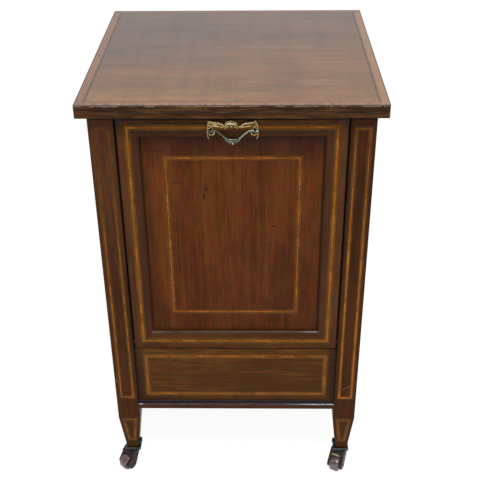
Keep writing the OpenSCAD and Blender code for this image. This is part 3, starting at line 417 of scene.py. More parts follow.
# Pale on the right, grey at the back, dark at the rim and beside the side strings.
cross_out = (abs(cross_x) - top_half_w) | (abs(cross_y) - top_half_d)
cross_rim = cross.step(cross_out, -0.0018, -0.0006)
cross.paint(cross.step(cross_x, 0.18, 0.19) * 0.6, tint(150, 108, 62))
cross.paint(cross.step(cross_y, 0.18, 0.19) * 0.7, tint(100, 74, 58))
cross_in = (cross.step(abs(cross_x), 0.1910, 0.1898)
            * cross.step(abs(cross_x), 0.1866, 0.1872))
cross.paint((cross_rim | cross_in) * 0.6, tint(66, 52, 48))
# Along the front it is ticked in short pieces, rubbed and given a painted highlight at the arris,
# and chipped.
cross_front = 1 - cross.step(cross_y, -0.1915, -0.1885)
cross_chip = cross.step(cross.noise((95, 40, 40), 31.0, 3, 0.7), 0.5, 0.62) * cross_front
cross.paint(cross_front * 0.65, cross.ramp(
    cross.slices(cross_x, 130.0, 2.0, 0.5),
    (0.36, tint(84, 58, 48)), (0.48, tint(134, 94, 58)), (0.64, tint(182, 129, 90))))
cross_rubbed_highlight = cross.step(cross_y, -0.1942, -0.1952)
cross.paint(cross_rubbed_highlight * 0.8, tint(160, 130, 94))
cross.paint(cross_chip * 0.6, tint(52, 44, 50))
cross.set({"Roughness": 0.4 + 0.15 * cross_patch})
cross.relief(cross_cut * 0.4 - cross_chip * 2, 0.0001)
dress(cross, "top_banding")

ebony = Surface("ebony_string", {"Specular IOR Level": 0.25})
ebony_patch = ebony.noise((90, 90, 90), 5.0, 3, 0.6)
ebony.set({"Roughness": 0.35 + 0.2 * ebony_patch})
ebony.relief(ebony_patch, 0.00005)
ebony.colour = ebony.mix(ebony_patch, tint(36, 36, 38), tint(80, 72, 66))
dress(ebony, "top_stringing")

# ---- Legs ----------------------------------------------------------------
# Four square mahogany legs, tapered on all sides at the foot. The front pair carries a
# long rectangle of satinwood between boxwood strings, and a tapered border below it.

# Near-black painted shade, for the gaps beside the front and under the top.
painted_shade = tint(20, 12, 10)
leg = wood("leg_mahogany", "Z", (65, 35, 12), 21.0, contrast=1.5)
leg_x = leg.axis("X")
leg_z = leg.axis("Z")
# Painted shade beside the front and under the top, a paler left leg and redder feet.
leg_gap_shade = (1 - leg.step(abs(leg_x), 0.1533, 0.1545)) * leg.step(leg_z, 0.14, 0.146)
leg_pale = leg.step(leg_z, 0.25, 0.58) * leg.step(leg_x, 0.0, -0.01)
leg.stain(leg_pale * 0.75, 1.5, 1.75, 2.9)
leg.stain(leg.step(leg_z, 0.116, 0.110), 1.05, 1.2, 0.7)
leg_shade = leg_gap_shade | leg.step(leg_z, 0.6258, 0.6268)
leg.paint(leg_shade * 0.8, painted_shade)
leg_scratch = (leg.slash(leg_x, leg_z, 161, 169, 186, 187, 0.8)
               | leg.spots(leg_x, leg_z, [(160, 455, 1.4, 1.6), (-184, 190, 1.6, 2.2)]))
leg.paint(leg_scratch * 0.6, tint(140, 106, 80))
leg_dents = leg.spots(leg_x, leg_z, [
    (163, 505, 3.6, 2.4), (171, 497, 2.6, 6), (172, 478, 2.2, 8), (170, 571, 2.4, 2),
    (168, 420, 1.8, 6), (-170, 430, 1.6, 7)])
leg.paint(leg_dents * 0.65, tint(40, 30, 30))
corners = ("front_left", "front_right", "rear_left", "rear_right")
dress(leg, *[corner + "_leg" for corner in corners])


def satinwood(name, middle, seed, piece_length):
    """Banding cut across the grain and laid in short pieces end to end."""
    dark, even, light = shades(*middle, dark=0.5, light=1.6)
    banding = Surface(name, {"Specular IOR Level": 0.08}, 0.0002)
    length = banding.axis("X") + banding.axis("Z") * 1.17
    piece = banding.node("TexWhiteNoise", {"noise_dimensions": "1D"}, {
        "W": banding.math("FLOOR", length / piece_length + seed)}, "Value")
    cut = banding.slices(length + seed, 230.0, 2.0)
    patch = banding.noise((24, 24, 24), seed, 3, 0.6)
    banding.colour = banding.ramp(0.42 * piece + 0.9 * cut + 0.6 * patch - 0.47,
                                  (0.1, dark), (0.5, even), (0.9, light))
    banding.set({"Roughness": 0.34 + 0.16 * patch})
    banding.relief(cut + patch, 0.00005)
    return banding


def boxwood(name, seed, middle):
    """Thin light string, yellowed and dirty."""
    dark, even, light = shades(*middle, dark=0.55, light=1.45)
    string = Surface(name, {"Specular IOR Level": 0.08}, 0.0002)
    patch = string.noise((50, 50, 50), seed, 4, 0.65)
    string.set({"Roughness": 0.36 + 0.2 * patch})
    string.relief(patch, 0.00004)
    string.colour = string.ramp(patch, (0.3, dark), (0.5, even), (0.72, light))
    return string


# The widths of the two satinwood bandings.
fine_band = 0.0034
wide_band = 0.004


def banded(node, band, seed, middle, piece_length, width, bright, centre_x=0.0, taper=0.0,
           cleaner=0.0):
    """Satinwood on the node of a banding: one rectangle, or one on each side, which may
    narrow downwards. It is bright over a share of its width and dark beside its strings,
    and may be cleaner near the floor and on the right."""
    low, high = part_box(node)
    banding = satinwood(band, middle, seed, piece_length)
    up = banding.axis("Z") - (low.z + high.z) / 2
    half_w = high.x - centre_x - width / 2
    half_h = (high.z - low.z) / 2 - width / 2
    across = abs(abs(banding.axis("X")) - centre_x) + taper * (half_h - up)
    if cleaner:
        below = banding.step(banding.axis("Z"), 0.6, 0.36)
        clean = below * 0.6 + banding.step(banding.axis("X"), -0.01, 0.01) * 0.4
        bright = bright + clean * cleaner
        banding.stain(1 - clean, 0.38, 0.36, 0.6)
    aside = abs((abs(across) - half_w) | (abs(up) - half_h))
    banding.paint(banding.step(aside, width * bright, width * (bright + 0.11)) * 0.9,
                  tint(58, 30, 16))
    dress(banding, node)


leg_low, leg_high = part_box("front_right_leg")
leg_middle = (leg_low.x + leg_high.x) / 2
banded("leg_banding", "leg_satinwood", 5.3, (160, 94, 22), 0.017, fine_band, 0.16,
       leg_middle, cleaner=0.17)
leg_string = boxwood("leg_boxwood", 8.0, (84, 57, 29))
dress(leg_string, "leg_stringing")
banded("foot_inlay", "foot_satinwood", 9.1, (122, 70, 14), 0.012, fine_band, 0.36,
       leg_middle, taper=0.1076)

# ---- Carcase -------------------------------------------------------------
# Plain mahogany sides and back let into the legs, and rails, a bottom board and
# glue blocks of softwood inside, left unpolished.

side_wood = wood("side_mahogany", "Z", (84, 50, 28), 35.0, contrast=1.3)
dress(side_wood, "left_side_panel", "right_side_panel")

back_wood = wood("back_mahogany", "Z", (76, 54, 38), 41.0, polish=0.0, rough=(0.6, 0.75),
                 pores=0.6, contrast=1.3)
dress(back_wood, "back_panel")

pine = wood("unpolished_pine", "X", (160, 124, 82), 50.0, polish=0.0, rough=(0.65, 0.8),
            pores=0.2)
pine_dust = pine.noise((18, 18, 18), 6.0, 4, 0.65)
pine.paint(pine.step(pine_dust, 0.4, 0.75) * 0.55, tint(62, 52, 44))
dress(pine, "bottom_board", "door_stop_rail", "side_rails", "back_rails", "corner_blocks",
      "liner_rest_batten")

# ---- Apron and base moulding ---------------------------------------------
# A fixed board under the front, banded like it and hollowed along its top, and a strip
# under it with a painted highlight along the arris and painted shade in the hollow above.

apron = wood("apron_mahogany", "X", (88, 54, 18), 63.0, contrast=2.4)
apron_x = apron.axis("X")
apron_z = apron.axis("Z")
# Painted shade at the ends beside the legs and along the foot, and dark round a small knot.
apron_end_shade = apron.step(abs(apron_x), 0.134, 0.150)
apron_foot_shade = 1 - apron.step(apron_z, 0.1455, 0.156)
apron.paint((apron_end_shade | apron_foot_shade) * 0.7, tint(44, 26, 20))
apron_knot = apron.spots(apron_x, apron_z, [(-92, 226, 6, 2.4), (-84, 224, 4, 1.6)])
apron.paint(apron_knot * 0.6, tint(44, 26, 20))
dress(apron, "apron_panel")

banded("apron_banding", "apron_satinwood", 2.7, (138, 80, 20), 0.021, wide_band, 0.42)
apron_string = boxwood("apron_boxwood", 14.0, (96, 66, 30))
dress(apron_string, "apron_stringing")

moulding = wood("moulding_mahogany", "X", (80, 47, 25), 71.0, rough=(0.2, 0.3), contrast=1.6)
moulding_x = moulding.axis("X")
moulding_z = moulding.axis("Z")
# A painted highlight along the arris, brightest at the ends, black painted shade in the hollow,
# and a bluish painted reflection on its rim.
moulding_in = moulding.axis("Y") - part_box("base_moulding")[0].y
moulding_hollow_shade = moulding.step(moulding_in, 0.0010, 0.0015)
moulding_arris_highlight = moulding.step(moulding_z, 0.1411, 0.1417) * (1 - moulding_hollow_shade)
moulding_end_highlight = moulding.step(moulding_x, 0.06, 0.13) | moulding.step(moulding_x, -0.142, -0.149)
moulding_highlight = moulding.ramp(
    moulding.noise((45, 1, 1), 3.0, 4, 0.7) * 0.6 + moulding_end_highlight * 0.5,
    (0.22, tint(70, 52, 50)), (0.45, tint(104, 98, 112)), (0.85, tint(186, 196, 214)))
moulding_rim_reflection = moulding.step(moulding_z, 0.1452, 0.1456)
moulding.paint(moulding_hollow_shade * (1 - moulding_rim_reflection) * 0.95, tint(16, 12, 13))
moulding.paint(moulding_rim_reflection * 0.9, tint(54, 58, 64))
moulding.paint(moulding_arris_highlight, moulding_highlight)
dress(moulding, "base_moulding")

# ---- Fall front ----------------------------------------------------------
# A frame of two stiles and two rails round a sunk panel of redder mahogany, with a
# rounded bead in the corner between them and bandings on both.


def door_shade_and_sheen(surface):
    """Painted shade beside the legs and under the top, and a bluish painted reflection in the
    upper corners.
    """
    x = surface.axis("X")
    z = surface.axis("Z")
    gap_shade = surface.step(abs(x), 0.1500, 0.1516)
    under = surface.step(z, 0.6230, 0.6240)
    surface.paint((gap_shade | under) * 0.9, painted_shade)
    corner = surface.spots(x, z, [(-148, 623, 8, 8), (148, 622, 7, 7)])
    surface.paint(corner * 0.6, tint(42, 42, 52))


stile = wood("stile_mahogany", "Z", (84, 50, 26), 83.0, contrast=1.4)
stile_out = stile.step(abs(stile.axis("X")), 0.1365, 0.1395)
stile.stain(0.45 * (1 - stile_out), 0.36, 0.34, 0.7)
door_shade_and_sheen(stile)
dress(stile, "door_left_stile", "door_right_stile")

rail = wood("rail_mahogany", "X", (76, 46, 19), 91.0, contrast=2.2)
rail_z = rail.axis("Z")
rail_low = rail.step(rail_z, 0.60, 0.606) * (1 - rail.step(rail_z, 0.611, 0.616))
rail.paint(rail_low * 0.5, tint(42, 26, 22))
door_shade_and_sheen(rail)
dress(rail, "door_top_rail", "door_bottom_rail")

panel = wood("panel_mahogany", "Z", (91, 48, 16), 102.0, contrast=1.7)
panel_x = panel.axis("X")
panel_z = panel.axis("Z")
# Cooler to the right, with painted shade under the top and along the rim.
panel.stain(panel.step(panel_x, -0.13, 0.13) * 0.45, 0.67, 0.7, 1.07)
panel_top_shade = panel.step(panel_z, 0.545, 0.60)
panel.stain(panel_top_shade * 0.85, 0.38, 0.46, 1.34)
panel_rim_shade = panel.step(abs(panel_x), 0.1185, 0.1222) | panel.step(panel_z, 0.5945, 0.5985)
panel.paint(panel_rim_shade * 0.6, tint(36, 21, 15))
# Dents, long scratches and two pale rubs.
panel_marks = panel.spots(panel_x, panel_z, [
    (56, 461.5, 3.2, 2.4), (95, 465, 2.2, 1.8), (-40, 507, 1.8, 6), (-36, 520, 2, 3.4),
    (-79, 455, 3.4, 1.2), (-44, 415, 1.9, 1.8), (-61, 330, 2.0, 1.9), (-77, 529, 9, 0.9),
    (-96, 577, 9, 0.8), (-64, 340, 1.2, 1.2)])
panel_lines = (panel.slash(panel_x, panel_z, 33, 319, 82, 353, 0.9)
               | panel.slash(panel_x, panel_z, 1, 354, 23, 332, 0.8))
panel.paint(panel_lines * 0.6, tint(44, 30, 30))
panel_rubs = (panel.slash(panel_x, panel_z, 42, 437, 60, 441, 1.0)
              | panel.slash(panel_x, panel_z, 58, 443, 74, 430, 1.2))
panel.paint(panel_rubs * 0.17, tint(136, 92, 62))
panel.paint(panel_marks * 0.75, tint(40, 28, 28))
dress(panel, "door_panel")

bead = wood("bead_mahogany", "Z", (66, 40, 24), 111.0)
bead_x = bead.axis("X")
# Only the bead's foot is polished, most at its ends.
bead_foot = 1 - bead.step(bead.axis("Z"), 0.2815, 0.283)
bead_shine = 0.25 + 0.75 * bead.step(abs(bead_x), 0.09, 0.122)
bead.set({"Coat Weight": bead_foot * bead_shine, "Coat Roughness": 0.12})
dress(bead, "panel_bead")

banded("door_banding", "door_satinwood", 6.9, (150, 87, 14), 0.019, wide_band, 0.33)
door_string = boxwood("door_boxwood", 19.0, (100, 71, 30))
dress(door_string, "door_stringing")
banded("panel_banding", "panel_satinwood", 7.7, (156, 86, 18), 0.014, fine_band, 0.24)
panel_string = boxwood("panel_boxwood", 27.0, (98, 66, 30))
dress(panel_string, "panel_stringing")

# ---- Pivots and stays ----------------------------------------------------
# Brass pins in bushes low on the stiles, and two brass quadrant stays that slide
# through keepers on the backs of the legs, all dull with handling.


def old_metal(name, dull, clean, seed, shader, rough=(0.3, 0.5)):
    """Metal with a patina that comes and goes in patches."""
    metal = Surface(name, shader, 0.0003)
    patch = metal.noise((60, 60, 60), seed, 5, 0.65)
    fine = metal.noise((700, 700, 700), seed + 2, 2, 0.6)
    metal.set({"Roughness": rough[0] + (rough[1] - rough[0]) * patch})
    metal.relief(fine + patch, 0.00004)
    metal.colour = metal.mix(metal.step(patch * 0.8 + fine * 0.2, 0.35, 0.65),
                             tint(*dull), tint(*clean))
    return metal


stay_brass = old_metal("stay_brass", (120, 96, 52), (176, 146, 84), 3.0, {"Metallic": 1.0})
dress(stay_brass, "pivot_pins", "pivot_bushes", "door_stays", "stay_keepers")


def applied(piece, modifier):
    """Turns a piece with its modifier into plain mesh."""
    bpy.context.view_layer.update()
    made = bpy.data.meshes.new_from_object(
        piece.evaluated_get(bpy.context.evaluated_depsgraph_get()))
    piece.modifiers.remove(modifier)
    piece.data = made
    return made


def round_screws(name, node, places, radius, length, surface):
    """Slotted round-headed screws in place of a node's plain ones.
    Each place is (middle of the head's seat, direction out, turn of the slot)."""
    tree = bpy.data.node_groups.new(name, "GeometryNodeTree")
    tree.interface.new_socket("Seats", in_out="INPUT", socket_type="NodeSocketGeometry")
    for socket in ("Head radius", "Shank radius", "Shank length", "Slot width"):
        tree.interface.new_socket(socket, in_out="INPUT", socket_type="NodeSocketFloat")
    tree.interface.new_socket("Screws", in_out="OUTPUT", socket_type="NodeSocketGeometry")

    def add(kind, settings=None, sockets=None):
        made = tree.nodes.new(kind)
        for key, value in (settings or {}).items():
            setattr(made, key, value)
        for key, value in (sockets or {}).items():
            if isinstance(value, bpy.types.NodeSocket):
                tree.links.new(value, made.inputs[key])
            else:
                made.inputs[key].default_value = value
        return made

    given = add("NodeGroupInput")
    ball = add("GeometryNodeMeshUVSphere", None, {
        "Segments": 20, "Rings": 12, "Radius": given.outputs["Head radius"]})
    head = add("GeometryNodeTransform", None, {"Geometry": ball.outputs[0],
                                                "Scale": (1, 1, 0.62)})
    slot_size = add("ShaderNodeCombineXYZ", None, {
        "X": given.outputs["Slot width"], "Y": 1.0, "Z": radius * 0.5})
    slot = add("GeometryNodeMeshCube", None, {"Size": slot_size.outputs[0]})
    slot_up = add("GeometryNodeTransform", None, {
        "Geometry": slot.outputs[0], "Translation": (0, 0, radius * 0.6)})
    cut = add("GeometryNodeMeshBoolean", {"operation": "DIFFERENCE"}, {
        "Mesh 1": head.outputs[0], "Mesh 2": slot_up.outputs[0]})
    shank = add("GeometryNodeMeshCylinder", None, {
        "Vertices": 16, "Radius": given.outputs["Shank radius"],
        "Depth": given.outputs["Shank length"]})
    shank_down = add("GeometryNodeTransform", None, {
        "Geometry": shank.outputs["Mesh"], "Translation": (0, 0, -length / 2)})
    whole = add("GeometryNodeJoinGeometry")
    tree.links.new(cut.outputs[0], whole.inputs[0])
    tree.links.new(shank_down.outputs[0], whole.inputs[0])
    out = add("GeometryNodeInputNamedAttribute", {"data_type": "FLOAT_VECTOR"},
              {"Name": "out"})
    turn = add("GeometryNodeInputNamedAttribute", {"data_type": "FLOAT"}, {"Name": "turn"})
    aim = add("FunctionNodeAlignRotationToVector", {"axis": "Z"}, {
        "Vector": out.outputs["Attribute"]})
    spin = add("FunctionNodeAxisAngleToRotation", None, {
        "Axis": (0, 0, 1), "Angle": turn.outputs["Attribute"]})
    twist = add("FunctionNodeRotateRotation", {"rotation_space": "LOCAL"}, {
        "Rotation": aim.outputs[0], "Rotate By": spin.outputs[0]})
    set_out = add("GeometryNodeInstanceOnPoints", None, {
        "Points": given.outputs["Seats"], "Instance": whole.outputs[0],
        "Rotation": twist.outputs[0]})
    real = add("GeometryNodeRealizeInstances", None, {"Geometry": set_out.outputs[0]})
    painted = add("GeometryNodeSetMaterial", None, {
        "Geometry": real.outputs[0], "Material": surface.owner})
    add("NodeGroupOutput", None, {0: painted.outputs[0]})

    seats = bpy.data.meshes.new(name)
    seats.from_pydata([place for place, direction, angle in places], [], [])
    seats.attributes.new("out", "FLOAT_VECTOR", "POINT")
    seats.attributes.new("turn", "FLOAT", "POINT")
    for i, (place, direction, angle) in enumerate(places):
        seats.attributes["out"].data[i].vector = direction
        seats.attributes["turn"].data[i].value = angle
    screws = add_object(name, seats)
    modifier = screws.modifiers.new("screws", "NODES")
    modifier.node_group = tree
    sizes = {"Head radius": radius, "Shank radius": radius * 0.5, "Shank length": length,
             "Slot width": radius * 0.24}
    for item in tree.interface.items_tree:
        if item.item_type == "SOCKET" and item.name in sizes:
            modifier[item.identifier] = sizes[item.name]
    made = applied(screws, modifier)
    made.shade_smooth()
    made.set_sharp_from_angle(angle=math.radians(35))
    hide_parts(node)
    return screws


screw_brass = old_metal("screw_brass", (96, 76, 42), (168, 138, 80), 5.0, {"Metallic": 1.0})
dress(screw_brass, "door_screws")

# Two screws in each keeper, each with its slot at a turn of its own.
keeper_low, keeper_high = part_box("stay_keepers")
keeper_z = (keeper_low.z + keeper_high.z) / 2
keeper_seats = [((side * 0.164, -0.1465, keeper_z + rise / 1000), (0, 1, 0), 0.7 * side + rise)
                for side in (-1, 1) for rise in (-8, 8)]
keeper_screws = round_screws("keeper_screws_slotted", "keeper_screws", keeper_seats,
                             radius=0.003, length=0.010, surface=screw_brass)
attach(keeper_screws, "cabinet")

# ---- Liner ---------------------------------------------------------------
# A black japanned sheet-iron box with a wired rim, scratched and grey with coal
# dust, hooked over an iron bar on the back of the front.

japan = old_metal("black_japan", (26, 25, 24), (44, 42, 39), 13.0,
                  {"Specular IOR Level": 0.4}, (0.35, 0.6))
japan_dust = japan.noise((40, 40, 90), 23.0, 5, 0.7)
japan_rust = japan.step(japan.noise((55, 55, 30), 29.0, 5, 0.7), 0.6, 0.7)
japan.paint(japan.step(japan_dust, 0.42, 0.7) * 0.5, tint(70, 66, 60))
japan.paint(japan_rust * 0.6, tint(88, 52, 34))
dress(japan, "coal_liner", "liner_hooks")

wrought = old_metal("wrought_iron", (34, 32, 30), (66, 60, 54), 17.0,
                    {"Metallic": 0.8}, (0.45, 0.65))
dress(wrought, "hanger_bar", "liner_handle_lugs", "liner_handle", "liner_rivets")

# ---- Door handle ---------------------------------------------------------
# A cast brass handle: an openwork ribbon with a shell in the middle, two studs and
# a swan-necked bail with a leafy grip. It is gilt on the ridges and green below.

# The front's own face, and how far each stud is from the handle's middle, in mm.
front_face = -0.178
stud = 29
post_low, post_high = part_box("handle_posts")
handle_middle = Vector(((post_low.x + post_high.x) / 2, front_face,
                        (post_low.z + post_high.z) / 2))


class Casting:
    """Round limbs and balls, in millimetres right, out and up, run together."""

    def __init__(self, origin):
        self.origin = origin
        self.bm = bmesh.new()

    def at(self, point):
        """A (right, out, up) point's place in the scene."""
        return self.origin + Vector((point[0], -point[1], point[2])) / 1000

    def ball(self, x, out, z, radius, flat=1.0):
        """A ball, which may be flattened from front to back."""
        made = bmesh.ops.create_icosphere(self.bm, subdivisions=3, radius=radius / 1000)
        for vert in made["verts"]:
            vert.co.y *= flat
            vert.co += self.at((x, out, z))

    def limb(self, points, flat=1.0):
        """A smooth limb through (right, out, up, radius) points, with round ends."""
        sides = 12
        steps = 5
        path = []
        for i in range(len(points) - 1):
            p = [Vector(points[max(0, min(len(points) - 1, i + k))]) for k in (-1, 0, 1, 2)]
            for s in range(steps):
                t = s / steps
                path.append(0.5 * (2 * p[1] + (p[2] - p[0]) * t
                                   + (2 * p[0] - 5 * p[1] + 4 * p[2] - p[3]) * t ** 2
                                   + (3 * p[1] - p[0] - 3 * p[2] + p[3]) * t ** 3))
        path.append(Vector(points[-1]))
        rings = []
        for i, here in enumerate(path):
            along = (path[min(i + 1, len(path) - 1)] - path[max(i - 1, 0)]).to_3d().normalized()
            side = along.cross(Vector((0, 1, 0)))
            side = side.normalized() if side.length > 0.1 else Vector((1, 0, 0))
            out = side.cross(along).normalized()
            ring = []
            for k in range(sides):
                a = 2 * math.pi * k / sides
                ring.append(self.bm.verts.new(self.at(
                    here.to_3d() + side * here.w * math.cos(a)
                    + out * here.w * flat * math.sin(a))))
            rings.append(ring)
        for a, b in zip(rings, rings[1:]):
            for k in range(sides):
                self.bm.faces.new((a[k], a[(k + 1) % sides], b[(k + 1) % sides], b[k]))
        self.bm.faces.new(rings[0][::-1])
        self.bm.faces.new(rings[-1])
        for point in (points[0], points[-1]):
            self.ball(*point, flat=flat)

    def both(self, points, flat=1.0):
        """The same limb on the left and on the right."""
        self.limb(points, flat)
        self.limb([(-x, out, z, radius) for x, out, z, radius in points], flat)

    def balls(self, *balls):
        """Balls in the middle, or on the left and on the right."""
        for x, out, z, radius in balls:
            self.ball(x, out, z, radius)
            if x:
                self.ball(-x, out, z, radius)


def from_node(bm, name):
    """Adds a node's solid, with its loose triangles merged."""
    copy = nodes[name].data.copy()
    bm.from_mesh(copy)
    bpy.data.meshes.remove(copy)
    bmesh.ops.remove_doubles(bm, verts=bm.verts, dist=0.000001)


def shaped(name, bm):
    """Makes a piece of a finished shape."""
    bmesh.ops.recalc_face_normals(bm, faces=bm.faces)
    mesh = bpy.data.meshes.new(name)
    bm.to_mesh(mesh)
    bm.free()
    return add_object(name, mesh)


def cast(name, bm, grain_size, smooth, hollow_reach):
    """Runs the shapes together in one skin, eases it, and marks hollows and ridges in
    the attribute "height", from 0 to 1."""
    piece = shaped(name, bm)
    skin = piece.modifiers.new("skin", "REMESH")
    skin.mode = "VOXEL"
    skin.voxel_size = grain_size
    skin.adaptivity = 0
    made = applied(piece, skin)
    count = len(made.vertices)
    places = np.zeros(count * 3)
    made.vertices.foreach_get("co", places)
    places = places.reshape(-1, 3)
    edges = np.zeros(len(made.edges) * 2, int)
    made.edges.foreach_get("vertices", edges)
    edges = edges.reshape(-1, 2)
    around = np.bincount(edges.ravel(), minlength=count)[:, None].clip(1)

    def eased(points):
        total = np.zeros_like(points)
        np.add.at(total, edges[:, 0], points[edges[:, 1]])
        np.add.at(total, edges[:, 1], points[edges[:, 0]])
        return points * 0.5 + total / around * 0.5

    for i in range(smooth):
        places = eased(places)
    made.vertices.foreach_set("co", places.ravel())
    made.update()
    normals = np.zeros(count * 3)
    made.vertices.foreach_get("normal", normals)
    far = places
    far_passes = 24
    for i in range(far_passes):
        far = eased(far)
    rise = ((places - far) * normals.reshape(-1, 3)).sum(axis=1)
    height = (0.5 + rise / hollow_reach).clip(0, 1)
    made.attributes.new("height", "FLOAT", "POINT").data.foreach_set("value", height)
    made.shade_smooth()
    return piece


def patina(name, tones, seed, shader, rough):
    """Cast metal that is dark in its hollows and rubbed bright on its ridges."""
    metal = Surface(name, shader, 0.0002)
    height = metal.node("Attribute", {"attribute_name": "height"}, None, "Fac")
    patch = metal.noise((260, 260, 260), seed, 4, 0.6)
    metal.set({"Roughness": rough[1] - (rough[1] - rough[0]) * height})
    metal.relief(metal.noise((900, 900, 900), seed + 4, 2, 0.6), 0.00003)
    stops = zip((0.22, 0.46, 0.64, 0.86), [tint(*tone) for tone in tones])
    metal.colour = metal.ramp(height + (patch - 0.5) * 0.5, *stops)
    return metal


def stands_for(piece, surface, node, body):
    """Finishes a piece and puts it in place of a node, on that body."""
    surface.set({"Base Color": surface.colour})
    piece.data.materials.clear()
    piece.data.materials.append(surface.owner)
    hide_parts(node)
    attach(piece, body)


# The ribbon: a flat back, a fold beside the shell, and a raised fold along its length.
plate = Casting(handle_middle)
plate.both([(10.6, 0.9, 5.6, 1.9), (15, 0.9, 7.2, 2.6), (19, 0.9, 8.2, 3.3), (24, 0.9, 8.7, 3.4),
            (29.4, 0.9, 8.8, 3.2)], 0.35)
plate.both([(10.8, 1.6, 5.0, 1.4), (14.5, 2.0, 6.4, 1.8), (18.5, 2.2, 7.6, 1.8)], 0.8)
plate.limb([(-18.4, 2.4, 8.6, 1.3), (-16.4, 3.0, 10.2, 1.2), (-14.4, 2.4, 10.6, 0.8)])
plate.both([(10.2, 1.8, 5.4, 1.3), (13.5, 2.0, 6.8, 1.7), (18, 2.2, 8.5, 2.0), (23, 2.2, 9.2, 2.1),
            (27.5, 2.0, 9.2, 1.9), (30.2, 1.8, 8.8, 1.2)], 0.8)
# Four leaves along its top, a rolled lower edge, and a curl at each tip.
for x, z, tip_x, tip_z in ((11.6, 5.8, 16.8, 10.6), (14.8, 7.2, 21.0, 11.8),
                           (18.6, 8.2, 25.4, 12.2), (23.0, 8.8, 29.6, 12.6)):
    plate.both([(x, 2.8, z, 0.8), ((x + tip_x) / 2 - 0.7, 3.6, (z + tip_z) / 2 + 0.5, 1.0),
                (tip_x, 2.2, tip_z, 0.6)])
plate.both([(10.4, 2.8, 4.0, 0.8), (14, 3.3, 4.8, 0.9), (19, 3.5, 5.8, 0.9), (24, 3.4, 6.3, 0.9),
            (28.6, 3.0, 6.2, 0.8)])
plate.limb([(26.8, 2.2, 11.3, 1.0), (29.0, 2.0, 12.6, 0.8), (30.2, 1.8, 13.6, 0.4)])
plate.limb([(-27.6, 2.2, 11.0, 1.0), (-31.6, 2.0, 11.8, 0.7)])
# A tail down each end, a hook over each stud and a scroll below it.
plate.both([(30.2, 2.0, 10.6, 1.1), (31.9, 2.0, 7.4, 0.9), (32.4, 2.0, 3.0, 0.8),
            (32.6, 2.0, -2.0, 0.8), (32.8, 1.8, -6.2, 0.8), (32.4, 1.6, -9.6, 0.8),
            (31.2, 1.4, -12.4, 0.5)])
plate.both([(30.6, 2.2, 6.6, 0.8), (28.8, 2.8, 4.9, 0.9), (27.2, 2.6, 3.2, 1.0)])
plate.both([(23.8, 2.2, -2.8, 0.8), (24.6, 2.6, -5.2, 1.1), (27.2, 2.6, -6.7, 1.0),
            (29.8, 2.5, -6.3, 1.2), (31.0, 2.0, -4.8, 0.8)])
# The shell: a back, two rims, nine ribs and three lobes, with a bead on either side.
shell_x = -1.8
shell_z = 3.4
plate.limb([(-8.4, 0.9, 5.0, 2.4), (-1.8, 0.9, 8.4, 4.2), (4.8, 0.9, 5.0, 2.4)], 0.3)
for across, up, out, radius in ((9.4, 9.4, 1.7, 0.8), (7.5, 7.0, 3.2, 1.3)):
    plate.limb([(shell_x + across * math.cos(a), out, shell_z + up * math.sin(a), radius)
                for a in (math.pi * k / 10 for k in range(11))])
for k in range(9):
    a = math.pi * (k + 0.5) / 9
    plate.limb([(shell_x + part * math.cos(a) * 9.4, out, shell_z + part * math.sin(a) * 9.3,
                 radius)
                for part, out, radius in ((0.8, 2.6, 0.8), (0.95, 2.2, 1.1), (1.03, 1.8, 0.9))])
for x in (-5.7, -1.4, 2.8):
    plate.limb([(x, 3.2, 3.2, 1.0), (x * 1.05, 4.2, 5.4, 1.25)])
plate.balls((9.4, 2.6, 5.0, 1.5))
plate.ball(-11.2, 2.6, 5.8, 1.8)
# A round seat and a ring for each stud.
for side in (-1, 1):
    plate.ball(stud * side, 0.8, 0, 3.4, 0.35)
    plate.limb([(stud * side + 3.1 * math.cos(a), 2.2, 3.1 * math.sin(a), 0.7)
                for a in (math.pi * k / 6 for k in range(13))])
gilt = patina("handle_gilt", [(34, 28, 16), (106, 82, 36), (172, 140, 74), (236, 224, 182)], 7.0,
              {"Metallic": 1.0}, (0.26, 0.5))
gilt_x = gilt.axis("X")
gilt_z = gilt.axis("Z")
# Painted highlights on the shell and the folds, browner on the tails, green in the hollows.
gilt_highlights = gilt.spots(gilt_x, gilt_z, [(-1, 620.5, 8.5, 2.6), (-21.5, 619.2, 3.4, 1.5),
                                        (17.4, 621.3, 2.2, 1.4), (12.2, 617.4, 2.4, 1.2)])
gilt.paint(gilt_highlights * 0.55, tint(222, 218, 186))
gilt.paint(gilt.step(gilt_z, 0.608, 0.606) * 0.5, tint(104, 74, 40))
gilt_dark = gilt.spots(gilt_x, gilt_z, [(-1, 615, 6.5, 1.8), (-14, 622, 3, 1.6), (27, 617, 2, 2)])
gilt.paint(gilt_dark * 0.6, tint(46, 50, 44))
stands_for(cast("handle_ribbon", plate.bm, 0.00024, 1, 0.0006), gilt,
           "handle_backplate", "fall_front")

bail = Casting(handle_middle)
bail.both([(33.0, 5.5, 0, 1.1), (28.5, 5.5, 0.3, 1.1), (25, 5.5, 1.0, 1.2),
           (22.4, 5.5, 0.6, 1.2), (19.4, 5.5, -0.9, 1.2), (15.8, 5.5, -4.0, 1.2),
           (12.4, 5.5, -7.1, 1.25), (9.8, 5.5, -9.7, 1.35), (7.4, 5.6, -11.4, 1.1),
           (3.8, 5.6, -12.3, 1.0), (0, 5.6, -12.6, 1.0)])
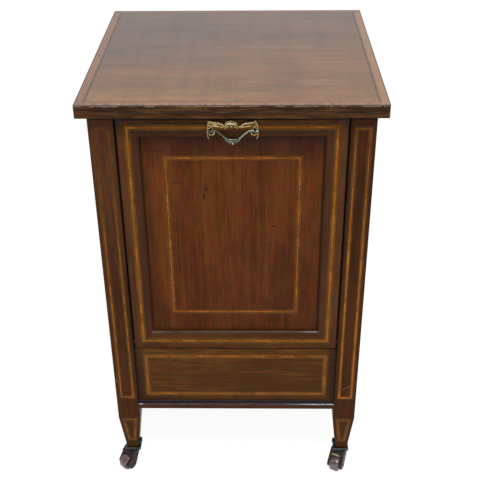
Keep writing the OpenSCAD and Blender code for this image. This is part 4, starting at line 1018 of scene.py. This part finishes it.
# The leafy grip: two lower leaves and their beads.
bail.both([(9.6, 6.0, -11.2, 0.8), (6.2, 6.4, -14.0, 1.1), (2.8, 6.5, -15.2, 1.2),
           (0, 6.5, -15.5, 1.2)])
bail.both([(8.0, 5.6, -13.6, 0.7), (5.4, 5.8, -16.2, 1.0), (2.4, 5.9, -17.8, 1.0)])
bail.balls((0, 6.6, -17.6, 1.2), (9.2, 6.2, -9.6, 1.1))
verdigris = patina("bail_brass", [(24, 26, 20), (56, 60, 49), (96, 104, 88), (192, 202, 178)], 8.0,
                   {"Metallic": 1.0}, (0.22, 0.42))
bail_x = verdigris.axis("X")
bail_z = verdigris.axis("Z")
# Browner to the left and low down, with a painted highlight to the right, and bright on two beads.
verdigris.paint(verdigris.step(bail_x, -0.002, -0.009) * 0.5, tint(78, 78, 56))
verdigris.paint(verdigris.step(bail_x, 0.008, 0.014) * 0.4, tint(190, 206, 190))
verdigris.paint(verdigris.step(bail_z, 0.5972, 0.5962) * 0.6, tint(58, 48, 34))
bail_bead = verdigris.spots(bail_x, bail_z, [(0.8, 593.4, 1.3, 1.2), (-6.5, 602, 1.6, 1.4)])
verdigris.paint(bail_bead * 0.8, tint(222, 196, 172))
stands_for(cast("handle_bail_cast", bail.bm, 0.00022, 1, 0.0006), verdigris,
           "handle_bail", "bail")

studs = Casting(handle_middle)
for side in (-1, 1):
    studs.limb([(stud * side, 0.4, 0, 1.8), (stud * side, 7.4, 0, 1.8)])
    studs.ball(stud * side, 8.2, 0, 2.1, 0.7)
stud_metal = patina("stud_bronze", [(20, 19, 20), (34, 34, 38), (54, 56, 68), (94, 98, 126)], 12.0,
                    {"Metallic": 1.0}, (0.18, 0.4))
stands_for(cast("handle_studs", studs.bm, 0.0003, 1, 0.0008), stud_metal,
           "handle_posts", "fall_front")

# ---- Casters -------------------------------------------------------------
# Four swivel casters of cast brass, almost black: a plate with lugs turned up the
# inner faces of the leg, a forked horn on a kingpin, and a glazed pottery roller.

plate_tones = [(15, 16, 17), (34, 37, 39), (58, 64, 68), (94, 102, 108)]
horn_tones = [(14, 11, 10), (36, 29, 27), (58, 49, 46), (88, 80, 76)]
for name, body, tones in [("caster_plates", "cabinet", plate_tones)] + [
        (corner + "_horn", corner + "_swivel", horn_tones) for corner in corners]:
    shape = bmesh.new()
    from_node(shape, name)
    bronze = patina(name + "_bronze", tones, 15.0, {"Metallic": 0.85}, (0.3, 0.5))
    # A painted highlight on the lip of the front right horn.
    if name == "front_right_horn":
        horn_lip_highlight = bronze.spots(bronze.axis("X"), bronze.axis("Z"), [(162.5, 29, 7, 1.9)])
        bronze.paint(horn_lip_highlight * 0.8, tint(206, 194, 150))
    stands_for(cast(name + "_cast", shape, 0.0004, 3, 0.0012), bronze, name, body)

dark_bronze = old_metal("dark_bronze", (24, 23, 22), (56, 53, 50), 19.0, {"Metallic": 0.85})
dress(dark_bronze, "caster_screws", "caster_kingpins")

glaze = Surface("roller_glaze", {
    "Specular IOR Level": 0.5, "Coat Roughness": 0.08, "Coat IOR": 1.8,
    "Coat Tint": (0.88, 0.94, 1.0, 1.0)})
glaze_patch = glaze.noise((330, 330, 60), 3.0, 4, 0.6)
glaze_dirt = glaze.step(glaze.noise((420, 420, 420), 8.0, 4, 0.7), 0.5, 0.7)
glaze.colour = glaze.ramp(glaze_patch, (0.3, tint(44, 23, 18)), (0.5, tint(76, 40, 30)),
                          (0.7, tint(126, 82, 66)))
glaze_shine = glaze.noise((300, 300, 70), 17.0, 3, 0.6)
glaze.set({"Roughness": 0.25 + 0.3 * glaze_dirt,
           "Coat Weight": glaze.step(glaze_shine, 0.36, 0.6) * 0.75})
glaze.relief(glaze_patch, 0.0002)
# A bluish painted reflection in streaks on the right-hand rollers.
glaze_streak_reflection = glaze.step(glaze_shine, 0.46, 0.6) * glaze.step(glaze.axis("X"), 0.1, 0.12)
glaze.paint(glaze_streak_reflection * 0.5, tint(112, 118, 136))
glaze.paint(glaze_dirt * 0.6, tint(34, 26, 24))
# A roller's section from the axle hole to the tread: (along the axle, radius), in mm.
roller_side = [(7.1, 2.35), (7.1, 4.2), (7.7, 4.7), (7.7, 6.2), (7.0, 6.9), (7.0, 9.0), (7.5, 9.7),
          (7.6, 10.7), (7.1, 11.7), (6.2, 12.4), (4.9, 12.75), (2.6, 12.95), (0.0, 13.0)]
roller_section = roller_side + [(-along, radius) for along, radius in roller_side[-2::-1]]
for corner in corners:
    wheel = corner + "_wheel"
    body = corner + "_roller"
    axle = Vector(next(j["axis"] for j in frame["joints"] if j["child"] == body))
    low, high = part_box(wheel)
    side = axle.cross(Vector((0, 0, 1)))
    turned = bmesh.new()
    rings = []
    facets = 48
    for k in range(facets):
        a = 2 * math.pi * k / facets
        spoke = side * math.cos(a) + Vector((0, 0, math.sin(a)))
        rings.append([turned.verts.new((low + high) / 2 + (axle * along + spoke * radius) / 1000)
                      for along, radius in roller_section])
    for k, ring in enumerate(rings):
        for i in range(len(ring)):
            turned.faces.new((ring[i], ring[i - 1], rings[k - 1][i - 1], rings[k - 1][i]))
    roller = shaped(wheel + "_glazed", turned)
    roller.data.shade_smooth()
    stands_for(roller, glaze, wheel, body)
